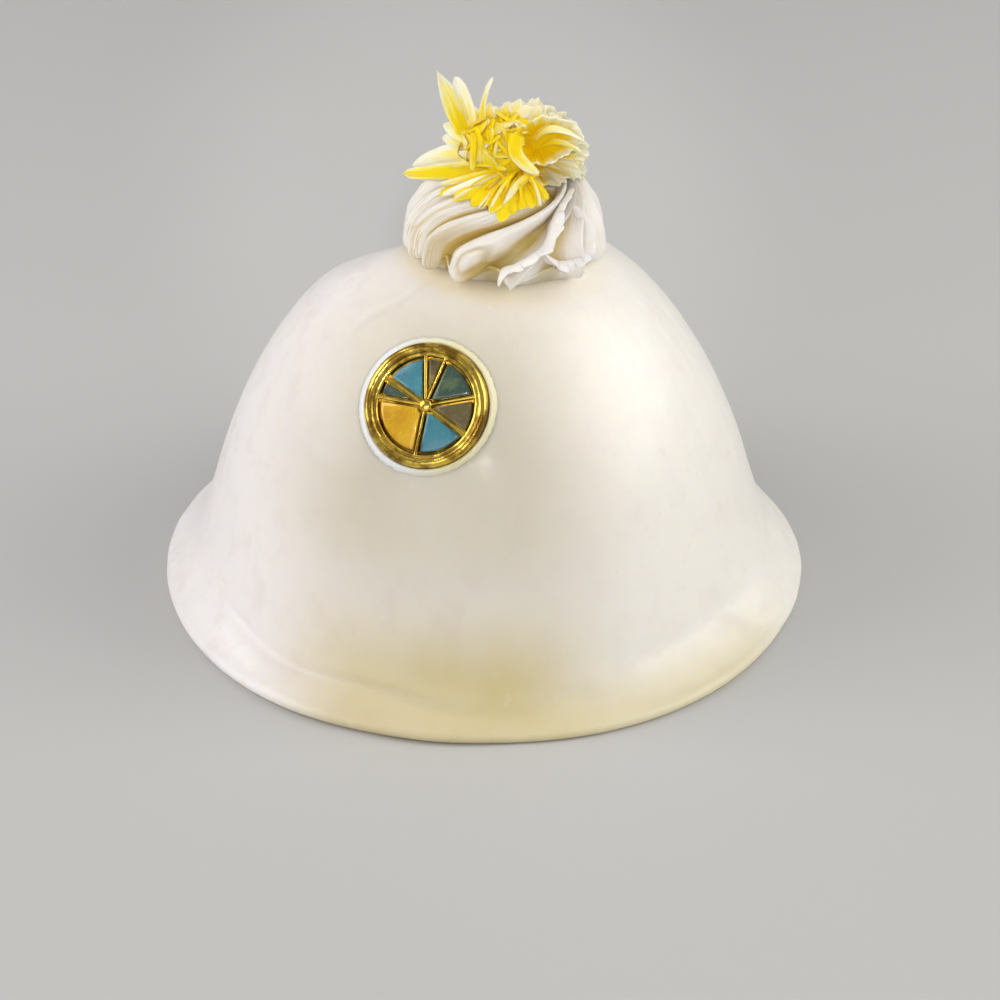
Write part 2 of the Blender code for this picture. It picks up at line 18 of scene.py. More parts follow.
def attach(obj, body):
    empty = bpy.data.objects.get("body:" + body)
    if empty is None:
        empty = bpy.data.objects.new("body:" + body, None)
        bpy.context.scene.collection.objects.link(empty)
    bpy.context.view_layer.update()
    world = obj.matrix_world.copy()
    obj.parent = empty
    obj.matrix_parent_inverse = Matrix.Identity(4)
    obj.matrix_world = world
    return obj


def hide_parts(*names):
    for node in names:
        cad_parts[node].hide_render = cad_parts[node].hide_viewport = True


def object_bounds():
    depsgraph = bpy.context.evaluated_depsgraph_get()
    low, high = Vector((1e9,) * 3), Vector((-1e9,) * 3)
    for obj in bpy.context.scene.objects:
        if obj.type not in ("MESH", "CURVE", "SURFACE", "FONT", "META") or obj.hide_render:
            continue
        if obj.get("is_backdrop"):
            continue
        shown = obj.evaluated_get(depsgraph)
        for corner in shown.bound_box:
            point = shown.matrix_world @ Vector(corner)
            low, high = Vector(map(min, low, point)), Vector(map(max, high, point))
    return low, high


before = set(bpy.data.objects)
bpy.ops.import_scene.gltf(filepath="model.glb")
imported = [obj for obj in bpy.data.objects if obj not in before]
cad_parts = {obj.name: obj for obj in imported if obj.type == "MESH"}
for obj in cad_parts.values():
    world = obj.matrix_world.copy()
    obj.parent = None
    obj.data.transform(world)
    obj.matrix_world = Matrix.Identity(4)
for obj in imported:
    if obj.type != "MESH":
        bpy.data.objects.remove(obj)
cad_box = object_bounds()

MM = 0.001
TURN = 2 * math.pi
print("nodes:", ", ".join(sorted(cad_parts)))

# %% [markdown]
# ## A helper for meshes
# Most pieces of this cake are skins stretched over a stack of rings, closed at both ends by one
# point. One helper makes such a skin, turns its faces outwards and stores numbers on its points.
# A material can read those numbers later, which is how painted shade darkens the cream in its grooves only.

# %% Skins over stacked rings
def show(name, data):
    """An object that shows this data, linked to the scene."""
    thing = bpy.data.objects.new(name, data)
    bpy.context.scene.collection.objects.link(thing)
    return thing


def store_layers(mesh, layers):
    """Keeps named numbers, or named directions, on the points of a mesh."""
    for label, values in layers.items():
        values = np.asarray(values, float)
        kind, key = ("FLOAT", "value") if values.ndim == 1 else ("FLOAT_VECTOR", "vector")
        mesh.attributes.new(label, kind, "POINT").data.foreach_set(key, values.ravel())


def new_piece(name, points, faces, material, layers=None):
    """A smooth mesh object from points and faces, with named numbers stored on its points."""
    mesh = bpy.data.meshes.new(name)
    mesh.from_pydata([tuple(p) for p in points], [], faces)
    store_layers(mesh, layers or {})
    work = bmesh.new()
    work.from_mesh(mesh)
    bmesh.ops.recalc_face_normals(work, faces=work.faces)
    work.to_mesh(mesh)
    work.free()
    mesh.shade_smooth()
    mesh.materials.append(material)
    return show(name, mesh)


def skin(rings, first, last):
    """Points and faces of a closed skin: rings is an array of ring, point in the ring, x y z."""
    count = rings.shape[1]
    points = np.vstack([[first], rings.reshape(-1, 3), [last]])
    here = np.arange(count)
    after = (here + 1) % count
    faces = [(0, 1 + a, 1 + b) for a, b in zip(here, after)]
    for j in range(len(rings) - 1):
        low, high = 1 + j * count, 1 + (j + 1) * count
        faces += np.stack([low + here, high + here, high + after, low + after], 1).tolist()
    top = 1 + (len(rings) - 1) * count
    faces += [(len(points) - 1, top + b, top + a) for a, b in zip(here, after)]
    return points, faces


def ring_layer(values, first=0.0, last=0.0):
    """Numbers given per ring and point, flattened in the order of a skin's points."""
    return np.concatenate([[first], np.asarray(values, float).ravel(), [last]])


# %% [markdown]
# ## A helper for nets of nodes
# Materials and Geometry Nodes are both nets of nodes. Typing out each node and link would hide the
# idea behind them, so this little class adds a node, sets it up and links it in one line.

# %% Nets of nodes in short form
class Net:
    """A net of nodes under construction."""

    def __init__(self, tree):
        self.tree = tree

    def add(self, kind, settings=None, **inputs):
        """Adds a node: settings go on the node, and inputs on its sockets by name or number.

        A kind without its family's name belongs to the ShaderNode family.
        """
        if not kind.startswith(("GeometryNode", "NodeGroup")):
            kind = "ShaderNode" + kind
        node = self.tree.nodes.new(kind)
        for key, value in (settings or {}).items():
            setattr(node, key, value)
        for key, value in inputs.items():
            key = int(key[1:]) if key[0] == "i" and key[1:].isdigit() else key.replace("_", " ")
            if hasattr(value, "is_output"):
                self.tree.links.new(value, node.inputs[key])
            else:
                node.inputs[key].default_value = value
        return node

    def math(self, kind, a, b=0.0):
        """One arithmetic step, such as ADD or POWER."""
        return self.add("Math", {"operation": kind}, i0=a, i1=b).outputs[0]

    def times(self, product, *factors):
        """The product of several values."""
        for factor in factors:
            product = self.math("MULTIPLY", product, factor)
        return product


# %% [markdown]
# ## A helper for materials
# Every finish below is a small net round one Principled shader. The constants of a finish are set
# straight on the shader's own sockets, and only what varies over a piece comes from nodes.

# %% Materials in short form
class Finish(Net):
    """A node material under construction."""

    def __init__(self, name, **constants):
        self.material = bpy.data.materials.new(name)
        self.material.use_nodes = True
        super().__init__(self.material.node_tree)
        self.shader = self.tree.nodes["Principled BSDF"]
        for socket, value in constants.items():
            self.shader.inputs[socket.replace("_", " ")].default_value = value

    def link(self, output, socket):
        self.tree.links.new(output, self.shader.inputs[socket])

    def place(self, scale=(1, 1, 1)):
        """Object coordinates, in metres, stretched by scale."""
        coordinate = self.add("TexCoord").outputs["Object"]
        return self.add("Mapping", Vector=coordinate, Scale=scale).outputs[0]

    def layer(self, name):
        """A number stored on the points of the piece."""
        return self.add("Attribute", {"attribute_name": name}).outputs["Fac"]

    def noise(self, place, scale, detail=2.0, rough=0.5):
        made = self.add("TexNoise", Vector=place, Scale=scale, Detail=detail, Roughness=rough)
        return made.outputs["Fac"]

    def cloud(self, spots, detail=2.0, rough=0.5):
        """Noise with about this many spots to the metre."""
        return self.noise(self.place((spots, spots, spots)), 1.0, detail, rough)

    def ramp(self, value, low, high, to_low=0.0, to_high=1.0):
        """The value's range from low to high, smoothed and moved to another range."""
        settings = {"interpolation_type": "SMOOTHSTEP"}
        names = dict(Value=value, From_Min=low, From_Max=high, To_Min=to_low, To_Max=to_high)
        return self.add("MapRange", settings, **names).outputs[0]

    def blend(self, share, colour_a, colour_b):
        """Two colours blended by a share."""
        return self.add("Mix", {"data_type": "RGBA"}, i0=share, i6=colour_a, i7=colour_b).outputs[2]

    def bump(self, height, distance, strength=1.0, below=None):
        node = self.add("Bump", Height=height, Distance=distance, Strength=strength)
        if below is not None:
            self.tree.links.new(below, node.inputs["Normal"])
        return node.outputs[0]


def rgb(red, green, blue):
    """A colour as a screen shows it, 0 to 255, turned into the linear light a shader wants."""
    shares = [c / 255 for c in (red, green, blue)]
    return tuple(c / 12.92 if c < 0.04045 else ((c + 0.055) / 1.055) ** 2.4 for c in shares) + (1.0,)


# %% [markdown]
# ## Geometry Nodes trees in short form
# What repeats, or follows a line or a rule, is made by Geometry Nodes, and the trees are built
# here in the script. Each tree has named inputs for its sizes, which are set on the modifier by
# their identifiers. It ends by realizing instances and setting the material, so that a plain
# mesh can be kept and the modifier taken away again.

# %% Geometry Nodes trees in short form
class Tree(Net):
    """A Geometry Nodes tree with named inputs."""

    def __init__(self, name, sizes, whole_numbers):
        super().__init__(bpy.data.node_groups.new(name, "GeometryNodeTree"))
        kinds = [("Geometry", "Geometry"), *((label, "Float") for label in sizes),
                 *((label, "Int") for label in whole_numbers), ("Material", "Material")]
        sockets = self.tree.interface
        for label, kind in kinds:
            sockets.new_socket(label, in_out="INPUT", socket_type="NodeSocket" + kind)
        sockets.new_socket("Geometry", in_out="OUTPUT", socket_type="NodeSocketGeometry")
        self.given = self.add("NodeGroupInput").outputs

    def stored(self, name, kind="FLOAT"):
        """A number or a direction stored on the points."""
        settings = {"data_type": kind}
        return self.add("GeometryNodeInputNamedAttribute", settings, Name=name).outputs["Attribute"]

    def position(self):
        return self.add("GeometryNodeInputPosition").outputs[0]

    def scaled(self, direction, length):
        """A direction times a length."""
        return self.add("VectorMath", {"operation": "SCALE"}, i0=direction, Scale=length).outputs[0]

    def wave(self, scale, detail=2.0):
        """Soft noise around zero, from the seed that the tree was given."""
        cloud = self.add("TexNoise", {"noise_dimensions": "4D"}, Vector=self.position(),
                         W=self.given["Seed"], Scale=scale, Detail=detail)
        return self.math("SUBTRACT", cloud.outputs["Fac"], 0.5)

    def end(self, geometry):
        smooth = self.add("GeometryNodeSetShadeSmooth", Geometry=geometry, Shade_Smooth=True)
        real = self.add("GeometryNodeRealizeInstances", Geometry=smooth.outputs[0])
        material = self.given["Material"]
        done = self.add("GeometryNodeSetMaterial", Geometry=real.outputs[0], Material=material)
        self.tree.links.new(done.outputs[0], self.add("NodeGroupOutput").inputs[0])


def run_tree(piece, net, sizes):
    """Runs a tree on a piece with these sizes and keeps the plain mesh that comes out."""
    modifier = piece.modifiers.new(net.tree.name, "NODES")
    modifier.node_group = net.tree
    for item in net.tree.interface.items_tree:
        if item.in_out == "INPUT" and item.name in sizes:
            modifier[item.identifier] = sizes[item.name]
    bpy.context.view_layer.update()
    graph = bpy.context.evaluated_depsgraph_get()
    plain = bpy.data.meshes.new_from_object(piece.evaluated_get(graph))
    piece.modifiers.clear()
    piece.data = plain


# %% [markdown]
# ## The glazed dome
# The bell is a superellipse turned about the upright axis, the same rule that the solid follows.
# The real glaze was poured, so it isn't true: it wanders a little all round, sags on one shoulder
# and runs out into a thin foot. A rule with a few named sizes gives all of that.

# %% The dome's rule
BODY_RADIUS, BODY_HEIGHT = 40.2 * MM, 51.5 * MM
BODY_POWER_R, BODY_POWER_Z = 2.72, 1.36
SAG_DEPTH, SAG_X, SAG_Y = 4.0 * MM, -10.7 * MM, 13.0 * MM
SAG_REACH, SAG_TAIL = 6.6 * MM, 0.002
FOOT_SPREAD, FOOT_LIP = 4.8 * MM, 0.75 * MM
FOOT_FADE, SIDE_FADE = 1.4 * MM, 2.2 * MM
GAP = 0.3 * MM


def body_radius(z):
    """Radius of the plain bell at height z."""
    share = np.clip(z / BODY_HEIGHT, 0.0, 1.0)
    return BODY_RADIUS * (1 - share**BODY_POWER_Z) ** (1 / BODY_POWER_R)


def body_height(radius):
    """Height of the plain bell at a distance from its axis."""
    share = np.minimum(radius / BODY_RADIUS, 1.0)
    return BODY_HEIGHT * (1 - share**BODY_POWER_R) ** (1 / BODY_POWER_Z)


def sag(x, y):
    """How far the glaze has sunk below the plain bell at a place seen from above."""
    reach = ((x - SAG_X) ** 2 + (y - SAG_Y) ** 2) / SAG_REACH**2
    return SAG_DEPTH * np.maximum(0.0, np.exp(-reach / 2) - SAG_TAIL)


def unevenness(angle, z):
    """How far the glaze wanders out of true."""
    wander = 0.30 * np.sin(2 * angle + 0.6) + 0.22 * np.sin(3 * angle - 1.3 + 60 * z)
    wander = wander + 0.12 * np.sin(5 * angle + 2.0 - 90 * z)
    return wander * MM * body_radius(z) / BODY_RADIUS


def evenly_spaced(line, count):
    """The polyline's points moved to equal steps along its length."""
    line = np.asarray(line, float)
    steps = np.linalg.norm(np.diff(line, axis=0), axis=1)
    travel = np.concatenate([[0.0], np.cumsum(steps)])
    wanted = np.linspace(0.0, travel[-1], count)
    return np.stack([np.interp(wanted, travel, line[:, k]) for k in range(line.shape[1])], axis=1)


def dome_profile(angle, count):
    """(radius, height) from the underside's edge, round the lip and up to just below the top."""
    spread = FOOT_SPREAD * (1 + 0.07 * math.sin(2 * angle + 2.2) + 0.05 * math.sin(5 * angle + 0.4))
    fade = FOOT_FADE * (1 + 0.25 * math.sin(angle + 0.9) + 0.12 * math.sin(3 * angle))
    fade += SIDE_FADE * math.cos(angle) ** 4
    rim = BODY_RADIUS + spread - FOOT_LIP
    lip = np.radians(np.linspace(-90, 50, 11))
    edge = np.stack([rim + FOOT_LIP * np.cos(lip), FOOT_LIP * (1 + np.sin(lip))], axis=1)
    radius, start = edge[-1]
    left = radius - float(body_radius(start))
    heights = start + (BODY_HEIGHT - start) * (1 - np.linspace(1, 0, 400) ** 2)
    flare = body_radius(heights) + left * np.exp((start - heights) / fade)
    upper = evenly_spaced(np.stack([flare, heights], axis=1), count + 2)[1:-1]
    upper[:, 0] += unevenness(angle, upper[:, 1])
    return np.vstack([edge, upper])


# %% The dome's grid
DOME_LINES, DOME_RINGS = 360, 150
dome_angles = TURN * np.arange(DOME_LINES) / DOME_LINES
profiles = np.stack([dome_profile(float(a), DOME_RINGS) for a in dome_angles], axis=1)
dome = np.stack([
    profiles[..., 0] * np.cos(dome_angles),
    profiles[..., 0] * np.sin(dome_angles),
    profiles[..., 1],
], axis=2)
dome[..., 2] -= sag(dome[..., 0], dome[..., 1])
print("dome grid:", dome.shape)

# %% [markdown]
# ## Relief in the glaze
# A poured glaze keeps the marks of its pouring. On the front left the foot is a thick roll with a
# crease above it, on the right it bulges, a faint fold runs down from the rosette, and shallow
# streaks run down the right side. Each mark is a small move along the surface's own normal.

# %% The marks of the pouring
def bell_curve(value, width):
    return np.exp(-((value / width) ** 2))


def window(value, low, high, soft):
    """1 between low and high, falling off smoothly over soft on both sides."""
    rise = np.clip((value - low) / soft + 0.5, 0, 1)
    fall = np.clip((high - value) / soft + 0.5, 0, 1)
    return (rise * rise * (3 - 2 * rise)) * (fall * fall * (3 - 2 * fall))


def grid_normals(grid):
    """Outward unit normals of a grid of rings."""
    along = np.gradient(grid, axis=0)
    round_it = np.roll(grid, -1, axis=1) - np.roll(grid, 1, axis=1)
    normal = np.cross(round_it, along)
    return normal / np.maximum(np.linalg.norm(normal, axis=2, keepdims=True), 1e-12)


def lumps(grid, scale, seed):
    """Smooth noise from -1 to 1 at every point of a grid."""
    shift = Vector((seed * 7.3, seed * 1.9, seed * 4.1))
    flat = [noise.noise(Vector(p) * scale + shift) for p in grid.reshape(-1, 3).tolist()]
    return np.array(flat).reshape(grid.shape[:2])


def pouring_marks(grid):
    """How far each point of the dome stands out or sinks, in metres."""
    x, y, z = (grid[..., k] / MM for k in range(3))
    azimuth = np.degrees(np.arctan2(y, x))
    # front left: a thick roll with a crease above it
    crease = 3.2 + 2.0 * np.clip((-100 - azimuth) / 48, 0, 1) + 0.5 * np.sin(np.radians(azimuth * 9))
    roll = 0.55 * bell_curve(z - crease + 2.0, 1.3) - 0.38 * bell_curve(z - crease, 0.75)
    marks = roll * window(azimuth, -156, -92, 24)
    # front right: a bulge, with a slanting dent in it
    bulge = 0.50 * bell_curve(z - 3.6, 1.6) - 0.18 * bell_curve(z - 6.4, 1.3)
    marks += bulge * window(azimuth, -62, 6, 24)
    dent = azimuth + 28 + 1.4 * (z - 3)
    marks -= 0.42 * bell_curve(dent, 4.5) * window(z, 1.0, 9.0, 4)
    marks += 0.28 * bell_curve(dent - 13, 9) * window(z, 0.8, 7.0, 4)
    # a fold from the rosette, streaks on the right, and soft lumps all over
    fold = (x + 15.4) * 0.33 - (y + 13.0) * 0.94 + 0.5 * np.sin(x * 0.7)
    marks -= 0.13 * bell_curve(fold, 0.8) * window(x, -17, -5, 3) * (y < 0)
    streaks = np.sin(np.radians(azimuth) * 41 + 3.0 * np.sin(z * 0.07))
    streaks *= np.sin(np.radians(azimuth) * 15 + z * 0.05)
    marks += 0.022 * streaks * window(azimuth, -85, 35, 30) * window(z, 9, 44, 12)
    marks += 0.16 * lumps(grid, 90, 1) + 0.05 * lumps(grid, 330, 2)
    marks += 0.16 * lumps(grid, 240, 3) * window(z, 0.9, 6.5, 2.0)
    return marks * MM * np.clip(z / 0.9, 0, 1)


dome += grid_normals(dome) * pouring_marks(dome)[..., None]
print("dome reaches", [round(float(v) / MM, 1) for v in np.abs(dome).reshape(-1, 3).max(0)], "mm")

# %% [markdown]
# ## The pocket for the badge
# The badge sits in a round pocket, tilted back with the slope of the dome. A frame of three axes
# is worked out once: x is level, y runs up the slope and z points out of the glaze. Points of the
# dome inside the pocket are pushed down along z, which keeps the mesh whole without any cutting.

# %% The badge's own axes, and its pocket
BADGE_RADIUS, BADGE_INNER, BADGE_DEPTH = 8.2 * MM, 6.35 * MM, 2.4 * MM
BADGE_AZIMUTH, BADGE_HEIGHT = math.radians(-106.25), 39.8 * MM
POCKET_EDGE, POCKET_SOFT = 8.5 * MM, 0.5 * MM
SEARCH_LOW, SEARCH_HIGH = -8 * MM, 4 * MM       # the glaze lies between these along the badge's z


def badge_axes():
    step = 0.1 * MM
    radius = float(body_radius(BADGE_HEIGHT))
    slope = float(body_radius(BADGE_HEIGHT + step) - body_radius(BADGE_HEIGHT - step)) / (2 * step)
    level = Vector((math.cos(BADGE_AZIMUTH), math.sin(BADGE_AZIMUTH), 0))
    up = Vector((0, 0, 1))
    out = (level - up * slope).normalized()
    right = up.cross(out).normalized()
    axes = Matrix((right, out.cross(right), out)).transposed().to_4x4()
    axes.translation = level * radius + up * BADGE_HEIGHT
    return axes


badge = badge_axes()
badge_turn = np.array(badge.to_3x3())
badge_middle = np.array(badge.translation)


def to_badge(points):
    """Points of the cake in the badge's own axes."""
    return (points - badge_middle) @ badge_turn


def from_badge(points):
    """Points in the badge's own axes, put back on the cake."""
    return np.asarray(points) @ badge_turn.T + badge_middle


local = to_badge(dome)
distance = np.hypot(local[..., 0], local[..., 1])
share = np.clip((POCKET_EDGE + POCKET_SOFT - distance) / POCKET_SOFT, 0, 1)
near = (share > 0) & (local[..., 2] > SEARCH_LOW)
floor_depth = -(BADGE_DEPTH + GAP)
local[..., 2] = np.where(near, local[..., 2] + (floor_depth - local[..., 2]) * share, local[..., 2])
dome = from_badge(local)
print("points in the pocket:", int(near.sum()))

# %% [markdown]
# ## Lemon cream glaze
# The glaze is cream with a little lemon in it: light goes a short way in and comes out again, so
# it needs subsurface scattering with a radius of a few millimetres. Its colour isn't even. The
# sides are almost white with a hint of pink. The middle of the front is greyer, which is painted
# shade, and the low front is a warmer, darker yellow, which is a painted reflection, as of a gold
# plate under the cake, with painted shade. Soft ramps over the piece's own coordinates, in metres,
# say where each tint lies, and noise breaks up their edges.

# %% The glaze's finish
ROSETTE_X = 3.1 * MM        # the rosette stands a little right of the middle
GLAZE_LEFT, GLAZE_RIGHT, GLAZE_CLOUD = rgb(251, 244, 242), rgb(251, 245, 235), rgb(238, 228, 226)
# Painted light: the two colours on the next line are painted shade for the front's middle, and the foot,
# band and edge colours are a painted reflection, as of a gold plate under the cake, with painted shade.
PAINTED_SHADE_LOW, PAINTED_SHADE_HIGH = rgb(224, 215, 195), rgb(208, 199, 181)
PAINTED_REFLECTION_FOOT, PAINTED_REFLECTION_BAND, PAINTED_REFLECTION_EDGE = rgb(208, 192, 140), rgb(224, 208, 148), rgb(214, 200, 140)
# The rosette's colour on the next line is a painted yellow shadow round the rosette's foot.
ROSETTE_SHADOW_TINT, FLECKS = rgb(228, 210, 150), rgb(236, 222, 196)


def cream_base(name, roughness, scatter):
    return Finish(
        name, Roughness=roughness, Subsurface_Weight=scatter, Subsurface_Scale=2.6 * MM,
        Subsurface_Radius=(1.0, 0.72, 0.42), IOR=1.42, Coat_Weight=0.22, Coat_Roughness=0.16,
    )


def paint_shade_and_reflection(made, colour, x, y, z):
    """Painted shade, greyer in the front middle, and a painted reflection with painted shade, warmer and
    darker low down and along the lowest edge on the right.
    """
    side = made.math("ABSOLUTE", made.math("ADD", x, 0.006))
    cloud = made.noise(made.place((55, 55, 38)), 1.0, 3.0, 0.55)
    # painted shade: greyer in the front's middle
    middle = made.times(made.ramp(side, 0.008, 0.030, 1, 0), made.ramp(y, -0.022, 0.001, 1, 0))
    shade_share = made.times(middle, made.ramp(cloud, 0.25, 0.75, 0.8, 1.0), made.ramp(z, 0.010, 0.026, 0.25, 1.0))
    colour = made.blend(shade_share, colour, made.blend(made.ramp(z, 0.022, 0.036), PAINTED_SHADE_LOW, PAINTED_SHADE_HIGH))
    # painted reflection with painted shade: warmer and darker low on the front
    low = made.times(made.ramp(z, 0.005, 0.020, 1, 0), made.ramp(y, -0.042, -0.012, 1, 0))
    reflection_share = made.times(low, made.ramp(side, 0.007, 0.027, 1, 0), made.ramp(cloud, 0.3, 0.7, 0.75, 1.0))
    colour = made.blend(reflection_share, colour, made.blend(made.ramp(z, 0.0, 0.006), PAINTED_REFLECTION_FOOT, PAINTED_REFLECTION_BAND))
    # painted reflection along the lowest front edge, on the right
    edge = made.times(made.ramp(z, 0.001, 0.007, 0.6, 0), made.ramp(y, -0.030, -0.010, 1, 0))
    return made.blend(made.times(edge, made.ramp(x, 0.0, 0.014)), colour, PAINTED_REFLECTION_EDGE)


def glaze_finish():
    made = cream_base("lemon_glaze", 0.40, 0.35)
    x, y, z = made.add("SeparateXYZ", Vector=made.place()).outputs
    colour = made.blend(made.ramp(x, -0.03, 0.03), GLAZE_LEFT, GLAZE_RIGHT)
    mottle = made.ramp(made.noise(made.place((230, 230, 180)), 1.0, 4.0, 0.62), 0.46, 0.70)
    colour = made.blend(made.times(mottle, made.ramp(x, -0.01, 0.02, 0.5, 0.25)), colour, GLAZE_CLOUD)
    colour = paint_shade_and_reflection(made, colour, x, y, z)
    # a painted yellow shadow in a ring round the rosette's foot
    from_axis = made.add("CombineXYZ", X=made.math("ADD", x, -ROSETTE_X), Y=y).outputs[0]
    away = made.add("VectorMath", {"operation": "LENGTH"}, i0=from_axis).outputs["Value"]
    ring = made.times(made.ramp(away, 0.0132, 0.0158, 1, 0), made.ramp(x, 0.0, 0.012, 0.36, 0.1))
    colour = made.blend(made.times(ring, made.ramp(z, 0.040, 0.045)), colour, ROSETTE_SHADOW_TINT)
    fleck = made.ramp(made.cloud(420), 0.66, 0.74)
    made.link(made.blend(made.times(fleck, 0.25), colour, FLECKS), "Base Color")
    broad = made.noise(made.place((160, 160, 120)), 1.0)
    made.link(made.ramp(broad, 0.3, 0.7, 0.34, 0.46), "Roughness")
    relief = made.bump(broad, 0.20 * MM, 0.45)
    made.link(made.bump(made.cloud(900, 4.0, 0.6), 0.05 * MM, 0.45, relief), "Normal")
    return made.material


glaze = glaze_finish()
dome_points, dome_faces = skin(dome, (0, 0, 0), (0, 0, BODY_HEIGHT - float(sag(0, 0))))
glazed_dome = new_piece("glazed_dome", dome_points, dome_faces, glaze)
print("glazed dome:", len(dome_faces), "faces")

# %% [markdown]
# ## The rim of glaze round the badge
# Pressing the badge in pushed up a low smooth rim of glaze. It is a ring whose inner edge touches
# the gilt and whose outer edge dies away on the dome. Each of its points is found by walking
# along the badge's z axis until it meets the dome, so the rim follows the slope everywhere.

# %% The raised rim
def dome_offset(points):
    """How far points of the cake are outside the dome, along its radius."""
    angle = np.arctan2(points[:, 1], points[:, 0])
    z = points[:, 2] + sag(points[:, 0], points[:, 1])
    return np.hypot(points[:, 0], points[:, 1]) - body_radius(z) - unevenness(angle, z)


def on_glaze(flat):
    """Heights along the badge's z axis at which flat points (x, y) meet the dome."""
    low, high = np.full(len(flat), SEARCH_LOW), np.full(len(flat), SEARCH_HIGH)
    for _ in range(30):
        middle = (low + high) / 2
        outside = dome_offset(from_badge(np.column_stack([flat, middle]))) > 0
        high = np.where(outside, middle, high)
        low = np.where(outside, low, middle)
    return (low + high) / 2


RIM_INNER = 8.24
RIM_SECTION = [
    # radius and rise over the glaze, in mm
    (RIM_INNER, -1.6), (RIM_INNER, -0.2), (8.27, 0.08), (8.36, 0.26), (8.52, 0.34), (8.72, 0.29),
    (8.92, 0.14), (9.12, -0.02), (9.35, -0.25), (9.2, -1.0),
]


def glaze_rim(count=144):
    rings = []
    angles = TURN * np.arange(count) / count
    swell = 1 - 0.05 * np.cos(angles - 0.2) + 0.06 * np.sin(3 * angles)
    for radius, rise in RIM_SECTION:
        reach = (RIM_INNER + (radius - RIM_INNER) * swell) * MM
        flat = np.column_stack([reach * np.cos(angles), reach * np.sin(angles)])
        height = on_glaze(flat) + rise * MM * np.where(rise > 0, swell, 1)
        rings.append(from_badge(np.column_stack([flat, height])))
    rings = np.array(rings)
    points, faces = rings.reshape(-1, 3), []
    here = np.arange(count)
    after = (here + 1) % count
    for j in range(len(rings)):
        low, high = j * count, (j + 1) % len(rings) * count
        faces += np.stack([low + here, low + after, high + after, high + here], 1).tolist()
    return new_piece("badge_glaze_rim", points, faces, rim_finish())


def rim_finish():
    """The glaze again, with a painted highlight where it faces left, and yellower on the right."""
    made = cream_base("rim_glaze", 0.3, 0.35)
    x = made.add("SeparateXYZ", Vector=made.place()).outputs["X"]
    # painted highlight: whiter on the left; yellower on the right
    left, right = rgb(252, 249, 246), rgb(244, 232, 186)
    made.link(made.blend(made.ramp(x, -0.013, -0.003), left, right), "Base Color")
    made.link(made.bump(made.cloud(700, 3.0), 0.05 * MM, 0.4), "Normal")
    return made.material


rim = glaze_rim()
print("rim of glaze:", len(rim.data.polygons), "faces")

# %% [markdown]
# ## The piped rosette
# A star nozzle presses cream into ridges that start upright at the foot and are dragged round as
# the bag turns and lifts. So the swirl is a stack of rings between a foot and a dish, and every
# ridge and groove is a line that turns by its own amount on the way up. The list gives, for each,
# its angle at the foot, its angle in the dish and the groove's depth, which is 0 on a ridge.

# %% The rosette's rule
ROSETTE_FOOT = 50.9 * MM
TURN_START, TURN_END, FOOT_SHARE = 0.27, 0.78, 0.3
SHARP_RIDGES, HOLLOWS = (-80, -42), (-97, -60)      # by their angle at the foot
DISH_EDGE = 8 * MM      # inside this radius the ridges fade out
SECTION = [
    # radius and height in mm, from the foot over the crest and into the dish
    (11.6, 50.9), (13.1, 51.2), (13.8, 52.1), (13.7, 53.5), (13.4, 54.8), (12.9, 56.1), (12.1, 57.5),
    (11.1, 59.0), (9.9, 60.2), (8.5, 61.0), (6.9, 61.2), (5.2, 60.9), (3.4, 60.4),
]
RIDGES_AND_GROOVES = [
    # angle at the foot, angle in the dish and depth in mm
    (-172, -152, 0), (-164.5, -138, 1.6), (-157, -120, 0), (-149, -94, 1.8), (-141, -62, 0),
    (-131, -18, 3.0), (-119, -3, 0), (-97, 8, 2.5), (-80, 15, 0), (-60, 20, 2.2), (-42, 25, 0),
    (-27, 31, 2.2), (-12, 37, 0), (3, 44, 2.2), (17, 51, 0), (31, 59, 2.2), (45, 67, 0), (59, 76, 2.2),
    (72, 85, 0), (85, 95, 2.2), (98, 106, 0), (111, 118, 2.2), (123, 130, 0), (136, 144, 2.2),
    (148, 158, 0), (159, 171, 2.0), (170, 184, 0), (179, 197, 1.8),
]
LINES_BETWEEN, SWIRL_RINGS = 15, 150


def smooth_curve(stations, count):
    """A smooth curve through every station, at count equal steps."""
    p = np.asarray(stations, float)
    p = np.vstack([2 * p[0] - p[1], p, 2 * p[-1] - p[-2]])
    line = []
    for i in range(1, len(p) - 2):
        for t in np.linspace(0, 1, 24, endpoint=False):
            b, c = p[i + 1] - p[i - 1], 2 * p[i - 1] - 5 * p[i] + 4 * p[i + 1] - p[i + 2]
            d = 3 * p[i] - p[i - 1] - 3 * p[i + 1] + p[i + 2]
            line.append(p[i] + (b * t + c * t * t + d * t**3) / 2)
    line.append(p[-2])
    return evenly_spaced(line, count)


def depth_share(step, sharp, hollow):
    """Share of a groove's depth at a step from ridge (0) to groove (1)."""
    if sharp and hollow:
        return math.sin(step * math.pi / 2)
    if hollow:
        return (1 - math.cos(step * math.pi)) / 2
    return step if sharp else 1 - math.cos(step * math.pi / 2)


def swirl_lines():
    """Foot angle, dish angle, depth and how far into its groove, for every line round the swirl."""
    stops = list(RIDGES_AND_GROOVES)
    foot, dish, depth = stops[0]
    stops.append((foot + 360, dish + 360, depth))
    lines = []
    for here, after in zip(stops, stops[1:]):
        falling = here[2] == 0
        ridge, groove = (here, after) if falling else (after, here)
        for k in range(LINES_BETWEEN):
            step = k / LINES_BETWEEN if falling else 1 - k / LINES_BETWEEN
            share = depth_share(step, ridge[0] in SHARP_RIDGES, groove[0] in HOLLOWS)
            foot, dish = (ridge[n] + (groove[n] - ridge[n]) * step for n in (0, 1))
            lines.append((foot, dish, groove[2] * share, share))
    return np.array(lines).T


